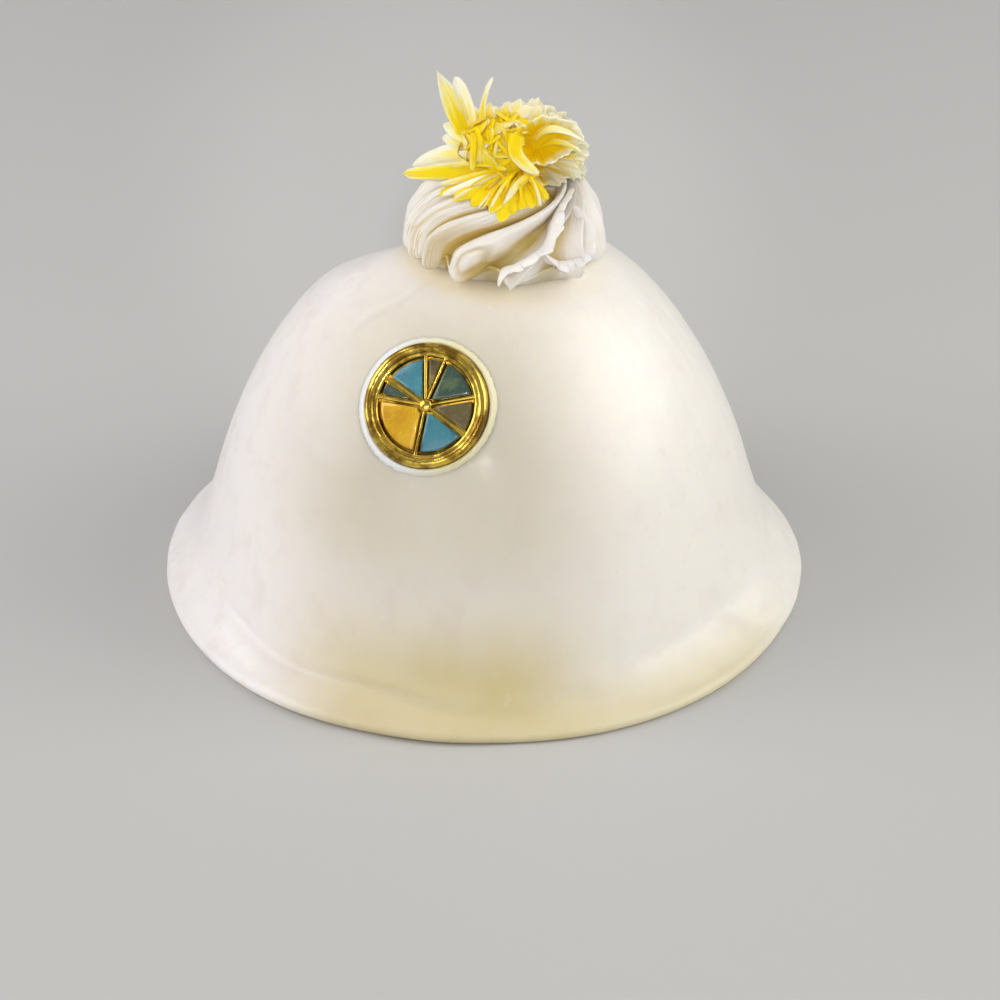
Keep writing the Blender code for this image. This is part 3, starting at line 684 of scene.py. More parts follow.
def on_dome(x, y):
    """Height of the swirl's underside, just clear of the dome."""
    return body_height(np.hypot(x, y)) - sag(x, y) + GAP


ridges = sum(depth == 0 for _, _, depth in RIDGES_AND_GROOVES)
print("rosette:", ridges, "ridges and", len(RIDGES_AND_GROOVES) - ridges, "grooves")

# %% [markdown]
# ## Folds and fine lines in the cream
# The nozzle's teeth leave fine lines that run along each ridge, the fat rope in front carries an
# oval dent, and a channel runs under it, painted beige as shade. These are more moves of the same
# lines, so they turn with the swirl. In the formulas u is the angle at the foot and v the share of
# the way from the foot to the dish, so each term is a mark at one place of the unturned cream.

# %% The marks in the cream
def oval(u, v):
    """1 on the oval dent's outline, 0 in its middle, more outside."""
    return np.hypot((u + 116) / 5.0, (v - 0.27) / 0.10)


def swirl_detail(foot, share):
    """Extra reach in mm for every line (foot angle) and ring (share of the way to the dish)."""
    u, v = np.meshgrid(foot, share)
    left = window(u, -184, -118, 14)
    teeth = np.sin(u * 2.1 + 4 * v) * 0.55 + np.sin(u * 3.7 - 7 * v + 1.3) * 0.45
    detail = teeth * (0.05 + 0.11 * left) * window(v, 0.08, 0.95, 0.12)
    detail += 0.07 * np.sin(u * 0.9 + 9 * v) * np.sin(v * 21 + u * 0.2)
    # the rope's own dents
    detail -= 0.75 * bell_curve(u + 108.5, 5.5) * bell_curve(v - 0.24, 0.075)
    detail += 0.25 * bell_curve(u + 109, 10) * window(v, 0.12, 0.4, 0.1)
    detail -= 0.36 * bell_curve(oval(u, v) - 1, 0.22) + 0.18 * bell_curve(oval(u, v), 0.8)
    # the channel under it, and the ridges to both sides
    detail -= 0.55 * bell_curve(u + 102, 4.5) * window(v, 0.04, 0.62, 0.12)
    detail += 0.30 * bell_curve(u + 114, 5) * window(v, 0.1, 0.7, 0.14)
    detail += 0.35 * bell_curve(u + 84, 3.2) * window(v, 0.06, 0.7, 0.14)
    detail += 0.25 * bell_curve(u + 42, 2.4) * window(v, 0.1, 0.6, 0.2)
    return detail


def painted_cream_shade(u, v):
    """Painted shade on the cream: how golden it is in its deepest creases, and how beige in its hollows,
    dents and channel.
    """
    # painted golden shade in the deepest creases
    gold = bell_curve(u + 131.5, 3.6) + 0.9 * bell_curve(u + 148.5, 1.9) + 0.9 * bell_curve(u + 164, 1.7)
    gold += 0.6 * bell_curve(u + 175, 1.5) + 0.5 * bell_curve(u + 155, 1.2)
    # painted shade in the hollows, the dents and the channel
    beige = 1.2 * bell_curve(u + 99, 7) * window(v, 0.02, 0.5, 0.16)
    beige += 0.6 * bell_curve(u + 97, 6) * window(v, 0.4, 0.8, 0.1)
    beige += 1.4 * bell_curve(u + 109, 6) * window(v, 0.02, 0.24, 0.1)
    beige += 0.8 * bell_curve(u + 61, 9) * window(v, 0.1, 0.55, 0.16)
    beige += 0.45 * bell_curve(u + 108.5, 6) * bell_curve(v - 0.24, 0.1)
    beige += 0.7 * bell_curve(u + 138, 5) * window(v, 0.02, 0.5, 0.2)
    beige += 0.5 * bell_curve(oval(u, v) - 1, 0.3)
    return np.clip(gold, 0, 1), np.clip(beige, 0, 1)


# %% [markdown]
# ## The swirl's rings, before they are turned
# The rings are stacked here with their ridges upright, and how far each point is to turn is only
# kept on it as a number. The ridges in front turn sooner than the rest, because they were dragged
# along when the nozzle was pulled away. The foot settles on the dome, just clear of it.

# %% The rosette's mesh
def early_turn(foot, share):
    """Extra turn in degrees of the ridges in front, which were dragged round sooner."""
    rise = np.clip((share - 0.08) / 0.30, 0, 1)
    fall = np.clip((0.95 - share) / 0.25, 0, 1)
    share = rise * rise * (3 - 2 * rise) * fall * fall * (3 - 2 * fall)
    held_back = 7.0 * bell_curve(foot + 80, 9) * (1 - rise[:, None])
    return 16.0 * bell_curve(foot + 92, 30) * share[:, None] - held_back


def around_axis(r, angle):
    """x and y at this radius and angle round the rosette's axis."""
    return ROSETTE_X + r * np.cos(angle), r * np.sin(angle)


def build_swirl():
    section = smooth_curve(SECTION, SWIRL_RINGS) * MM
    foot, dish, depth, hollow = swirl_lines()
    share = np.linspace(0, 1, SWIRL_RINGS)
    along = np.gradient(section, axis=0)
    along /= np.linalg.norm(along, axis=1, keepdims=True)
    out_r, out_z = along[:, 1:2], -along[:, 0:1]
    radius, height = section[:, 0:1], section[:, 1:2]
    near_dish = np.minimum(1, radius / DISH_EDGE)
    fade = np.minimum(1, 0.6 + 4 * share[:, None]) * near_dish
    turned = np.clip((share - TURN_START) / (TURN_END - TURN_START), 0, 1)[:, None] ** 2
    start = np.broadcast_to(np.radians(foot), (SWIRL_RINGS, len(foot)))
    turn = np.radians((dish - foot) * turned + early_turn(foot, share))
    inward = depth * fade * MM - swirl_detail(foot, share) * MM * near_dish
    r = radius - np.maximum(out_r, 0.35) * inward
    z = height - out_z * inward
    x, y = around_axis(r, start + turn)
    settle = (on_dome(x, y) - ROSETTE_FOOT) * np.maximum(0, 1 - share[:, None] / FOOT_SHARE) ** 2
    z = np.maximum(z + settle, on_dome(x, y))
    z[0] = on_dome(x[0], y[0])
    rings = np.stack([*around_axis(r, start), z], axis=2)
    under = []
    for part in (0.4, 0.8):
        reach = (section[0][0] - depth * 0.6 * MM) * part
        x, y = around_axis(reach, np.radians(foot))
        under.append(np.stack([x, y, on_dome(x, y)], axis=1))
    rings = np.concatenate([under, rings])
    u, v = np.meshgrid(foot, np.concatenate([[0, 0], share]))
    # the painted shade of the cream's creases, hollows and dents
    gold, beige = painted_cream_shade(u, v)
    grids = {
        "groove": np.broadcast_to(hollow * np.minimum(depth, 3) / 2.2, u.shape),
        "gold": gold, "beige": beige, "line": u * 0.22, "rise": v, "left": window(u, -184, -126, 16),
        "turn": np.concatenate([np.zeros((2, len(foot))), turn]),
    }
    bottom = (ROSETTE_X, 0, float(on_dome(ROSETTE_X, 0)))
    points, faces = skin(rings, bottom, (ROSETTE_X, 0, section[-1][1] - 0.2 * MM))
    return points, faces, {label: ring_layer(grid) for label, grid in grids.items()}


# %% [markdown]
# ## Turning the swirl
# Now a Geometry Nodes tree turns every point about the rosette's axis by the number kept on it.
# That is the move the nozzle made, and because the share of the turn is an input of the tree, the
# same cream could be twisted less or more. A soft ripple then takes the machine-made look away.

# %% The tree that turns the swirl
def turning_tree():
    """Turns every point about the rosette's axis by its own angle, then adds a soft ripple."""
    tree = Tree("turn_swirl", ("Axis x", "Turn share", "Ripple", "Ripple scale"), ("Seed",))
    given = tree.given
    axis = tree.add("CombineXYZ", X=given["Axis x"]).outputs[0]
    angle = tree.times(tree.stored("turn"), given["Turn share"])
    turned = tree.add("VectorRotate", {"rotation_type": "Z_AXIS"},
                      Vector=tree.position(), Center=axis, Angle=angle)
    placed = tree.add("GeometryNodeSetPosition", Geometry=given["Geometry"], Position=turned.outputs[0])
    height = tree.times(tree.wave(given["Ripple scale"]), given["Ripple"])
    move = tree.scaled(tree.add("GeometryNodeInputNormal").outputs[0], height)
    tree.end(tree.add("GeometryNodeSetPosition", Geometry=placed.outputs[0], Offset=move).outputs[0])
    return tree


twist = turning_tree()
print("turning tree:", len(twist.tree.nodes), "nodes")

# %% [markdown]
# ## Whipped cream
# Cream scatters light like the glaze but shines less. It is palest on the ridges. The numbers kept
# on the points bring in the rest, most of it painted shade: beige in the hollows and gold in the
# deepest creases. Threads of both are drawn out along the lines of the nozzle's teeth, most of all
# on the left.

# %% The cream's finish
# Painted shade: the hollow, beige and gold colours stand for shade in the grooves, hollows and creases; the
# ridge and thread colours are the cream's own.
CREAM_RIDGE, CREAM_GROOVE_SHADE = rgb(242, 236, 229), rgb(224, 211, 180)
CREAM_BEIGE_SHADE, CREAM_GOLD_SHADE, CREAM_THREAD = rgb(192, 166, 92), rgb(206, 174, 56), rgb(198, 176, 96)


def cream_finish():
    made = cream_base("whipped_cream", 0.42, 0.30)
    line = made.add("CombineXYZ", X=made.layer("line"), Y=made.times(made.layer("rise"), 0.35))
    drawn = made.noise(line.outputs[0], 7.0, 3.0, 0.6)
    cloud = made.cloud(260, 3.0)
    # painted shade, darker in the grooves
    hollow = made.ramp(made.math("ADD", made.layer("groove"), made.times(cloud, 0.3)), 0.35, 1.15)
    colour = made.blend(hollow, CREAM_RIDGE, CREAM_GROOVE_SHADE)
    # painted shade in the hollows, dents and channel
    beige = made.times(made.layer("beige"), made.ramp(cloud, 0.3, 0.6, 0.7, 1.0))
    colour = made.blend(beige, colour, CREAM_BEIGE_SHADE)
    # painted golden shade in the deepest creases
    gold = made.ramp(made.layer("gold"), 0.12, 0.8)
    colour = made.blend(made.times(gold, 0.8), colour, CREAM_GOLD_SHADE)
    thread = made.times(made.ramp(drawn, 0.54, 0.62), made.ramp(made.layer("left"), 0, 1, 0.12, 0.62))
    made.link(made.blend(thread, colour, CREAM_THREAD), "Base Color")
    made.link(made.ramp(cloud, 0.3, 0.7, 0.36, 0.5), "Roughness")
    relief = made.bump(drawn, 0.22 * MM, 0.5)
    made.link(made.bump(made.cloud(1400, 3.0), 0.04 * MM, 0.4, relief), "Normal")
    return made.material


cream = cream_finish()
swirl_points, swirl_faces, swirl_layers = build_swirl()
swirl = new_piece("cream_swirl", swirl_points, swirl_faces, cream, swirl_layers)
run_tree(swirl, twist, {
    "Axis x": ROSETTE_X, "Turn share": 1.0, "Ripple": 0.12 * MM, "Ripple scale": 420.0, "Seed": 6,
    "Material": cream})
print("cream swirl:", len(swirl_faces), "faces")

# %% [markdown]
# ## Zest, one ribbon at a time
# The tuft is a tangle of peel shreds: broad pale-edged curls outside, narrow bright ones across
# the heart. Every shred is the same idea, a thin lens-shaped section swept along a bent line, so
# one Geometry Nodes tree makes them all. The script only lays down the lines and writes on their
# points how wide the shred is there, which way its flat side lies and how far along it is.

# %% The tree that turns lines into shreds
def shred_tree():
    """Sweeps a thin section along every line of a mesh of edges, and ruffles the edges."""
    sizes, counts = ("Thickness share", "Cup", "Ruffle", "Ruffle scale"), ("Section points", "Seed")
    tree = Tree("sweep_shreds", sizes, counts)
    given = tree.given
    lines = tree.add("GeometryNodeMeshToCurve", Mesh=given["Geometry"]).outputs["Curve"]
    lines = tree.add("GeometryNodeSetCurveNormal", {"mode": "FREE"}, Curve=lines,
                     Normal=tree.stored("side", "FLOAT_VECTOR"))
    circle = tree.add("GeometryNodeCurvePrimitiveCircle", Resolution=given["Section points"], Radius=1.0)
    spot = tree.add("SeparateXYZ", Vector=tree.position()).outputs
    bowed = tree.times(spot[0], spot[0], given["Cup"])
    flat = tree.math("ADD", tree.times(spot[1], given["Thickness share"]), bowed)
    lens = tree.add("CombineXYZ", X=spot[0], Y=flat)
    section = tree.add("GeometryNodeStoreNamedAttribute", {"data_type": "FLOAT"},
                       Geometry=circle.outputs["Curve"], Name="across", Value=spot[0])
    section = tree.add("GeometryNodeSetPosition", Geometry=section.outputs[0], Position=lens.outputs[0])
    swept = tree.add("GeometryNodeCurveToMesh", Curve=lines.outputs[0], Profile_Curve=section.outputs[0],
                     Scale=tree.stored("half"), Fill_Caps=True)
    edge = tree.math("POWER", tree.math("ABSOLUTE", tree.stored("across")), 1.5)
    height = tree.times(tree.wave(given["Ruffle scale"]), given["Ruffle"], edge, tree.stored("half"))
    move = tree.scaled(tree.stored("face", "FLOAT_VECTOR"), height)
    tree.end(tree.add("GeometryNodeSetPosition", Geometry=swept.outputs[0], Offset=move).outputs[0])
    return tree


def grow(name, points, edges, layers, **sizes):
    """Lays a mesh of lines and runs the tree of the shreds on it."""
    mesh = bpy.data.meshes.new(name)
    mesh.from_pydata(points, edges, [])
    store_layers(mesh, layers)
    piece = show(name, mesh)
    run_tree(piece, sweep, sizes)
    return piece


sweep = shred_tree()
print("shred tree:", len(sweep.tree.nodes), "nodes")

# %% [markdown]
# ## Frills of torn cream
# Two thin frills stand on the front of the swirl, where the cream tore as the nozzle pulled
# away. The same tree sweeps them: their lines are given as places on the swirl, by angle and
# height, and their flat sides stand away from it.

# %% Two frills
FRILLS = [
    # angle in degrees, height in mm, half width in mm along the line
    [(-94, 51.5, 0.25), (-93, 52.6, 0.55), (-90, 53.4, 1.05), (-84, 54.0, 1.10), (-77, 54.8, 0.95),
     (-70, 55.5, 1.05), (-64, 56.3, 1.15), (-59, 57.6, 1.15), (-53, 58.8, 1.05), (-42, 59.9, 0.90),
     (-26, 60.5, 0.5)],
    [(-68, 55.6, 0.55), (-62, 54.2, 0.85), (-55, 53.2, 0.95), (-46, 53.0, 0.95), (-38, 53.7, 0.90),
     (-33, 55.0, 0.85), (-31, 56.6, 0.80), (-33, 58.2, 0.60), (-36, 59.2, 0.25)],
]


FRILL_WIDTH = 1.35      # share by which the widths in the list are raised
FRILL_STEPS = 60
BELOW_DISH = 11         # stations of the rosette's section that lie below the dish


def lay_frills():
    points, edges = [], []
    layers = {name: [] for name in ("side", "face", "half")}
    radii, heights = np.array(SECTION)[:BELOW_DISH].T
    steep = np.clip(np.gradient(radii, heights), -1.2, 1.2)
    step = np.arange(FRILL_STEPS)
    for frill in FRILLS:
        angle, height, half = smooth_curve(frill, FRILL_STEPS).T
        angle, half = np.radians(angle), half * FRILL_WIDTH
        radius, slope = np.interp(height, heights, radii), np.interp(height, heights, steep)
        out = np.stack([np.cos(angle), np.sin(angle), -slope], axis=1)
        out /= np.linalg.norm(out, axis=1, keepdims=True)
        wobble = 0.16 * np.sin(step * 0.9) + 0.1 * np.sin(step * 0.47)
        middle = np.stack([radius * np.cos(angle), radius * np.sin(angle), height], axis=1)
        middle += out * (0.25 + wobble - half * 0.55)[:, None] + np.array((ROSETTE_X / MM, 0, 0))
        tangent = np.gradient(middle, axis=0)
        tangent /= np.linalg.norm(tangent, axis=1, keepdims=True)
        face = np.cross(out, tangent)
        face /= np.linalg.norm(face, axis=1, keepdims=True)
        side = np.cross(tangent, face)
        first = len(points)
        points += (middle * MM).tolist()
        edges += [(first + i, first + i + 1) for i in range(FRILL_STEPS - 1)]
        for name, values in (("side", side), ("face", face), ("half", half * MM)):
            layers[name] += values.tolist()
    return points, edges, layers


frill_points, frill_edges, frill_layers = lay_frills()
frills = grow("cream_frills", frill_points, frill_edges, frill_layers, **{
    "Thickness share": 0.27, "Cup": 0.35, "Ruffle": 1.9, "Ruffle scale": 520.0,
    "Section points": 20, "Seed": 2, "Material": cream})
print("cream frills:", len(frills.data.polygons), "faces")

# %% [markdown]
# ## The finish of the zest
# Peel is strongest in colour where it was cut deepest, a golden yellow, and fades to cream at its
# edges and tips where the white pith shows. Fine fibres run along it. The three numbers on the
# points, along, across and tone, place all of this, whatever way a shred is bent.

# %% The zest's finish
PEEL_DEEP, PEEL_YELLOW = rgb(250, 198, 0), rgb(255, 218, 10)
PEEL_PALE, PITH = rgb(255, 238, 140), rgb(255, 250, 220)


def zest_finish():
    made = Finish(
        "lemon_zest", Roughness=0.55, Subsurface_Weight=0.3, Subsurface_Scale=1.0 * MM,
        Subsurface_Radius=(1.0, 0.85, 0.3), IOR=1.35, Specular_IOR_Level=0.3,
    )
    along, across, tone = made.layer("along"), made.layer("across"), made.layer("tone")
    fibre = made.add("CombineXYZ", X=made.times(across, 2.2), Y=made.times(along, 1.4),
                     Z=made.times(tone, 37.0))
    drawn = made.noise(fibre.outputs[0], 2.4, 3.0, 0.6)
    fade = made.times(along, made.ramp(tone, 0, 1, 0.75, 1.05))
    edge = made.times(made.math("POWER", made.math("ABSOLUTE", across), 2.5), made.layer("rim"))
    for more in (made.layer("pale"), made.ramp(drawn, 0.35, 0.7, -0.14, 0.16), edge):
        fade = made.math("ADD", fade, more)
    colour = made.blend(made.ramp(fade, -0.35, 0.15), PEEL_DEEP, PEEL_YELLOW)
    colour = made.blend(made.ramp(fade, 0.4, 0.75), colour, PEEL_PALE)
    colour = made.blend(made.ramp(fade, 0.75, 1.1), colour, PITH)
    made.link(colour, "Base Color")
    made.link(made.ramp(drawn, 0.3, 0.7, 0.34, 0.55), "Roughness")
    made.link(made.bump(drawn, 0.16 * MM, 0.6), "Normal")
    return made.material


zest = zest_finish()
print("zest's finish:", len(zest.node_tree.nodes), "nodes")

# %% [markdown]
# ## Lines for the shreds
# A shred starts as a bent line with numbers on its points. A small class collects the lines: it
# works out which way the flat side lies, makes the ends leaf-shaped or blunt, and lifts a line
# that would otherwise sink into the cream. All places are millimetres from the tuft's heart.

# %% Lines for the shreds
HEART = np.array((3.4, -0.4, 64.8))
VIEWER = (0, -1, 0.6)       # the way to the camera: a curl with this facing shows its flat side
DISH_RIM = 54.5             # above this height the swirl's section bounds the tuft from below
LAYERS = ("side", "face", "half", "along", "tone", "pale", "rim")


def crest_height(distance):
    """Height of the swirl's ridges over a point that far from its axis, in mm."""
    stations = [(r, z) for r, z in SECTION if z > DISH_RIM]
    radii = [0.0] + [r for r, _ in reversed(stations)]
    heights = [60.2] + [z for _, z in reversed(stations)]
    return np.interp(distance, radii, heights)


class Lines:
    """Collects bent lines and the numbers on their points."""

    def __init__(self):
        self.points, self.edges = [], []
        self.layers = {name: [] for name in LAYERS}

    def lay(self, start, bend, end, facing, width, blunt, tone, pale=0.0, twist=0.0, steps=20, rim=0.2):
        """One line from start over bend to end, its flat side turned to face `facing`.

        blunt runs from 0, a leaf that tapers all the way, to 1, an even strip cut off short.
        """
        start, bend, end = (np.asarray(p, float) + HEART for p in (start, bend, end))
        t = np.linspace(0, 1, steps)[:, None]
        path = start * (1 - t) ** 2 + 2 * bend * t * (1 - t) + end * t**2
        tangent = np.gradient(path, axis=0)
        tangent /= np.linalg.norm(tangent, axis=1, keepdims=True)
        side = np.cross(tangent, np.asarray(facing, float))
        side /= np.maximum(np.linalg.norm(side, axis=1, keepdims=True), 1e-6)
        face = np.cross(side, tangent)
        turn = twist * t
        side, face = side * np.cos(turn) + face * np.sin(turn), face * np.cos(turn) - side * np.sin(turn)
        belly = np.abs(np.sin(math.pi * (0.16 + 0.84 * t[:, 0]))) ** 0.8
        length = np.linalg.norm(np.diff(path, axis=0), axis=1).sum()
        tip = (1 - t[:, 0] ** max(2.2, 2.0 * length / width)) ** 0.5
        half = width / 2 * (belly * (1 - blunt) + blunt) * np.maximum(tip, 0.06)
        away = np.hypot(path[:, 0] - ROSETTE_X / MM, path[:, 1])
        clear = crest_height(away) + half * np.abs(side[:, 2]) + 0.35
        path[:, 2] = np.maximum(path[:, 2], clear)
        first = len(self.points)
        self.points += (path * MM).tolist()
        self.edges += [(first + i, first + i + 1) for i in range(steps - 1)]
        same = np.ones(steps)
        columns = (side, face, half * MM, t[:, 0], tone * same, pale * same, rim * same)
        for name, column in zip(LAYERS, columns):
            self.layers[name] += column.tolist()


def compass(azimuth, rise=0.0):
    """The direction with this azimuth and rise, both in radians."""
    level = math.cos(rise)
    return np.array((math.cos(azimuth) * level, math.sin(azimuth) * level, math.sin(rise)))


def up(height):
    """The upward direction, this long."""
    return np.array((0, 0, height))


print("swirl under the tuft's middle:", float(crest_height(0)), "mm high")

# %% [markdown]
# ## Broad curls
# Each of the curls that one would know again is a row: where it starts, bends and ends, its width,
# how blunt its tip is, how pale it is and how far it twists. A row is much easier to correct
# against the photograph than a mesh would be. The rest are spread over the heart by a rule.

# %% Broad curls
CURLS = [
    # start, bend, end, width, blunt, pale, twist
    ((-5.3, -0.5, 1.8), (-7.2, 0.0, 6.8), (-9.2, 0.6, 11.0), 2.7, 0.05, 0.10, 0.4),
    ((-5.0, -0.3, 1.8), (-5.4, 0.2, 7.0), (-6.8, 0.8, 10.0), 2.5, 0.6, 0.45, -0.2),
    ((-2.9, -0.6, 1.9), (-4.0, -0.2, 7.0), (-1.8, 0.2, 10.2), 0.9, 0.95, 0.10, 0.9),
    ((-2.2, -0.4, 1.9), (-2.6, 0.0, 5.0), (-2.2, 0.4, 6.6), 2.0, 0.2, 0.10, 0.3),
    ((0.6, -4.4, -0.5), (-5.8, -4.4, -1.3), (-13.7, -2.4, -2.4), 2.0, 0.85, -0.30, 0.2),
    ((0.2, -4.0, 0.1), (-5.4, -4.2, -0.6), (-11.8, -2.0, -1.9), 1.6, 0.6, 0.15, -0.3),
    ((-4.0, -1.5, -0.2), (-7.8, -0.5, 0.0), (-12.6, 0.0, -2.4), 3.0, 0.5, 0.45, 0.0),
    ((-4.0, -2.5, -1.6), (-7.8, -2.0, -2.4), (-11.8, -0.8, -3.6), 2.2, 0.5, 0.65, 0.2),
    ((-4.7, -1.0, 0.7), (-6.7, 0.0, 1.4), (-8.6, 0.8, 1.3), 2.6, 0.6, 0.40, 0.2),
    ((-4.7, -1.0, 2.1), (-6.7, 0.0, 2.8), (-8.4, 0.8, 3.3), 2.6, 0.6, 0.25, -0.2),
    ((-4.4, -0.6, 2.9), (-6.2, 0.2, 3.8), (-7.6, 0.8, 4.6), 2.4, 0.5, 0.10, 0.3),
    ((-4.0, 0.0, 3.0), (-4.5, 0.8, 4.7), (-4.6, 1.6, 5.5), 2.4, 0.6, 0.05, 0.3),
    ((-2.8, 0.0, 2.8), (-3.0, 0.8, 4.6), (-3.1, 1.6, 5.6), 2.2, 0.5, 0.20, 0.2),
    ((-1.8, 0.0, 2.6), (-1.7, 0.8, 4.5), (-1.4, 1.6, 5.5), 2.4, 0.6, 0.25, -0.3),
    ((-0.5, 0.0, 2.6), (-0.5, 0.8, 5.0), (0.3, 1.6, 6.2), 2.2, 0.3, 0.05, 0.2),
    ((0.4, 0.0, 2.6), (0.8, 0.8, 5.2), (1.8, 1.8, 6.5), 2.2, 0.2, 0.20, 0.0),
]


SKIRT_START = (1.3, -4.2, -1.4)
SKIRT = [
    # azimuth in degrees, reach, drop and width in mm
    (-152, 10.2, -4.6, 2.2), (-144, 9.4, -4.8, 2.0), (-136, 9.9, -4.8, 2.3), (-127, 9.0, -5.0, 2.4),
    (-119, 9.7, -5.0, 2.4), (-111, 9.2, -5.1, 2.5), (-103, 9.9, -5.3, 2.6), (-95, 10.7, -5.6, 2.8),
    (-87, 10.0, -5.3, 2.6), (-79, 9.5, -5.1, 2.5), (-70, 9.5, -4.9, 2.4), (-61, 8.9, -4.8, 2.2),
    (-52, 8.8, -4.4, 1.9),
]


HEART_CURLS, BACK_CURLS = 40, 15
GOLDEN_STEP = 0.618         # steps of this share of a turn never line up
HEART_REACH = (5.3, 4.8, 3.9)


def lay_curls(draw):
    lines = Lines()
    for start, bend, end, width, blunt, pale, twist in CURLS:
        lines.lay(start, bend, end, VIEWER, width, blunt, draw.random(), pale, twist, 26, 0.55)
    # broad pieces folded over the heart's front
    for i in range(HEART_CURLS):
        out = compass(math.radians(-188 + 112 * (i * GOLDEN_STEP % 1)), draw.uniform(-0.05, 1.25))
        across = np.cross(out, [draw.uniform(-1, 1) for _ in range(3)])
        across /= np.linalg.norm(across)
        middle, half = out * HEART_REACH + np.array((-0.5, 0, 0)), draw.uniform(1.8, 3.0)
        start = middle - across * half - out * 0.7
        end = middle + across * half + out * draw.uniform(-0.5, 0.9)
        bend, width = middle + out * draw.uniform(0.7, 1.6), draw.uniform(1.2, 2.3)
        blunt, tone, pale = draw.uniform(0.5, 0.85), draw.random(), draw.uniform(-0.85, 0.15)
        lines.lay(start, bend, end, out, width, blunt, tone, pale, draw.uniform(-0.5, 0.5), 18, 0.3)
    # the side away from the viewer: a ring of curls leaning outwards
    for azimuth in np.radians(np.linspace(15, 170, BACK_CURLS)):
        out = compass(azimuth)
        reach = 7.4 + draw.uniform(-0.8, 0.8)
        end = out * reach + np.array((0.6, 0, draw.uniform(-1.6, 3.0)))
        bend = out * reach * 0.6 + up(draw.uniform(2.5, 4.6))
        width, blunt = draw.uniform(2.0, 3.2), draw.uniform(0.4, 0.7)
        tone, pale, twist = draw.random(), draw.uniform(0, 0.4), draw.uniform(-0.5, 0.5)
        lines.lay(out * 2, bend, end, out + up(1), width, blunt, tone, pale, twist, 20, 0.4)
    # the skirt: broad deep-yellow peel spread from one place in front
    for azimuth, reach, drop, width in SKIRT:
        out = compass(math.radians(azimuth))
        end = out * reach + up(drop)
        bend = (np.array(SKIRT_START) + end) / 2 + out * 0.9 + up(1.1)
        tone, pale, twist = draw.random(), draw.uniform(-0.75, -0.45), draw.uniform(-0.3, 0.3)
        lines.lay(SKIRT_START, bend, end, out + up(0.8), width * 1.1, 0.7, tone, pale, twist, 22, 0.3)
    return lines


draw = random.Random(29)
curl_lines = lay_curls(draw)
print("curls:", len(curl_lines.points) - len(curl_lines.edges))

# %% [markdown]
# ## Narrow shreds
# Thin shreds make the tuft look tangled: some run down over the skirt, a few long bands cross the
# front, two folds lie across the cup, and the loose ones are strewn over the heart in all
# directions, except where the cup opens.

# %% Narrow shreds
FRONT_BANDS = [
    # the long bands that cross the front: start, bend, end, width, blunt, pale, twist
    ((1.0, -4.8, -0.7), (-4.0, -5.8, -1.9), (-8.6, -6.0, -3.9), 1.3, 0.7, 0.55, 0.4),
    ((-0.5, -4.8, -0.4), (-4.9, -5.4, -1.7), (-8.9, -4.4, -3.0), 1.0, 0.6, 0.00, 0.2),
    ((0.8, -5.0, -1.4), (-3.4, -6.4, -2.4), (-7.0, -7.0, -4.2), 1.0, 0.7, 0.10, 0.4),
    ((1.2, -5.0, 4.4), (0.2, -6.0, 1.4), (4.2, -5.6, -0.8), 1.9, 0.85, 0.00, 0.5),
    ((3.9, -5.0, -0.9), (0.6, -7.4, -1.3), (-0.4, -9.3, -4.6), 1.1, 0.8, 0.15, 0.5),
    ((-4.4, -3.6, 4.0), (-4.2, -5.0, 1.6), (-4.6, -4.8, -0.8), 0.9, 0.8, -0.25, 0.3),
    ((-4.0, -3.2, 4.4), (-3.2, -4.8, 2.6), (-3.6, -4.9, 0.2), 0.7, 0.8, 0.00, -0.3),
    ((-2.4, -3.2, 4.2), (-2.0, -4.6, 2.4), (-2.3, -4.8, 0.6), 0.8, 0.8, -0.20, 0.4),
    ((-4.6, -4.2, -0.2), (-2.2, -5.6, 0.8), (0.6, -5.0, 0.0), 0.9, 0.8, 0.00, 0.5),
    ((-3.6, -4.4, 0.8), (-1.4, -5.8, 2.2), (1.0, -4.8, 1.2), 0.8, 0.8, -0.10, 0.5),
    # two folds that lie across the cup
    ((3.5, -1.6, 2.2), (5.4, -5.4, 7.4), (10.9, -2.4, 1.6), 1.15, 0.20, 0.45, 1.0),
    ((4.6, -1.6, 1.2), (7.0, -4.6, 4.6), (10.9, -2.8, -0.6), 0.80, 0.20, 0.20, -0.9),
]


SKIRT_SHREDS, LOOSE_SHREDS = 34, 110
SHRED_REACH = (5.5, 5.0, 4.1)


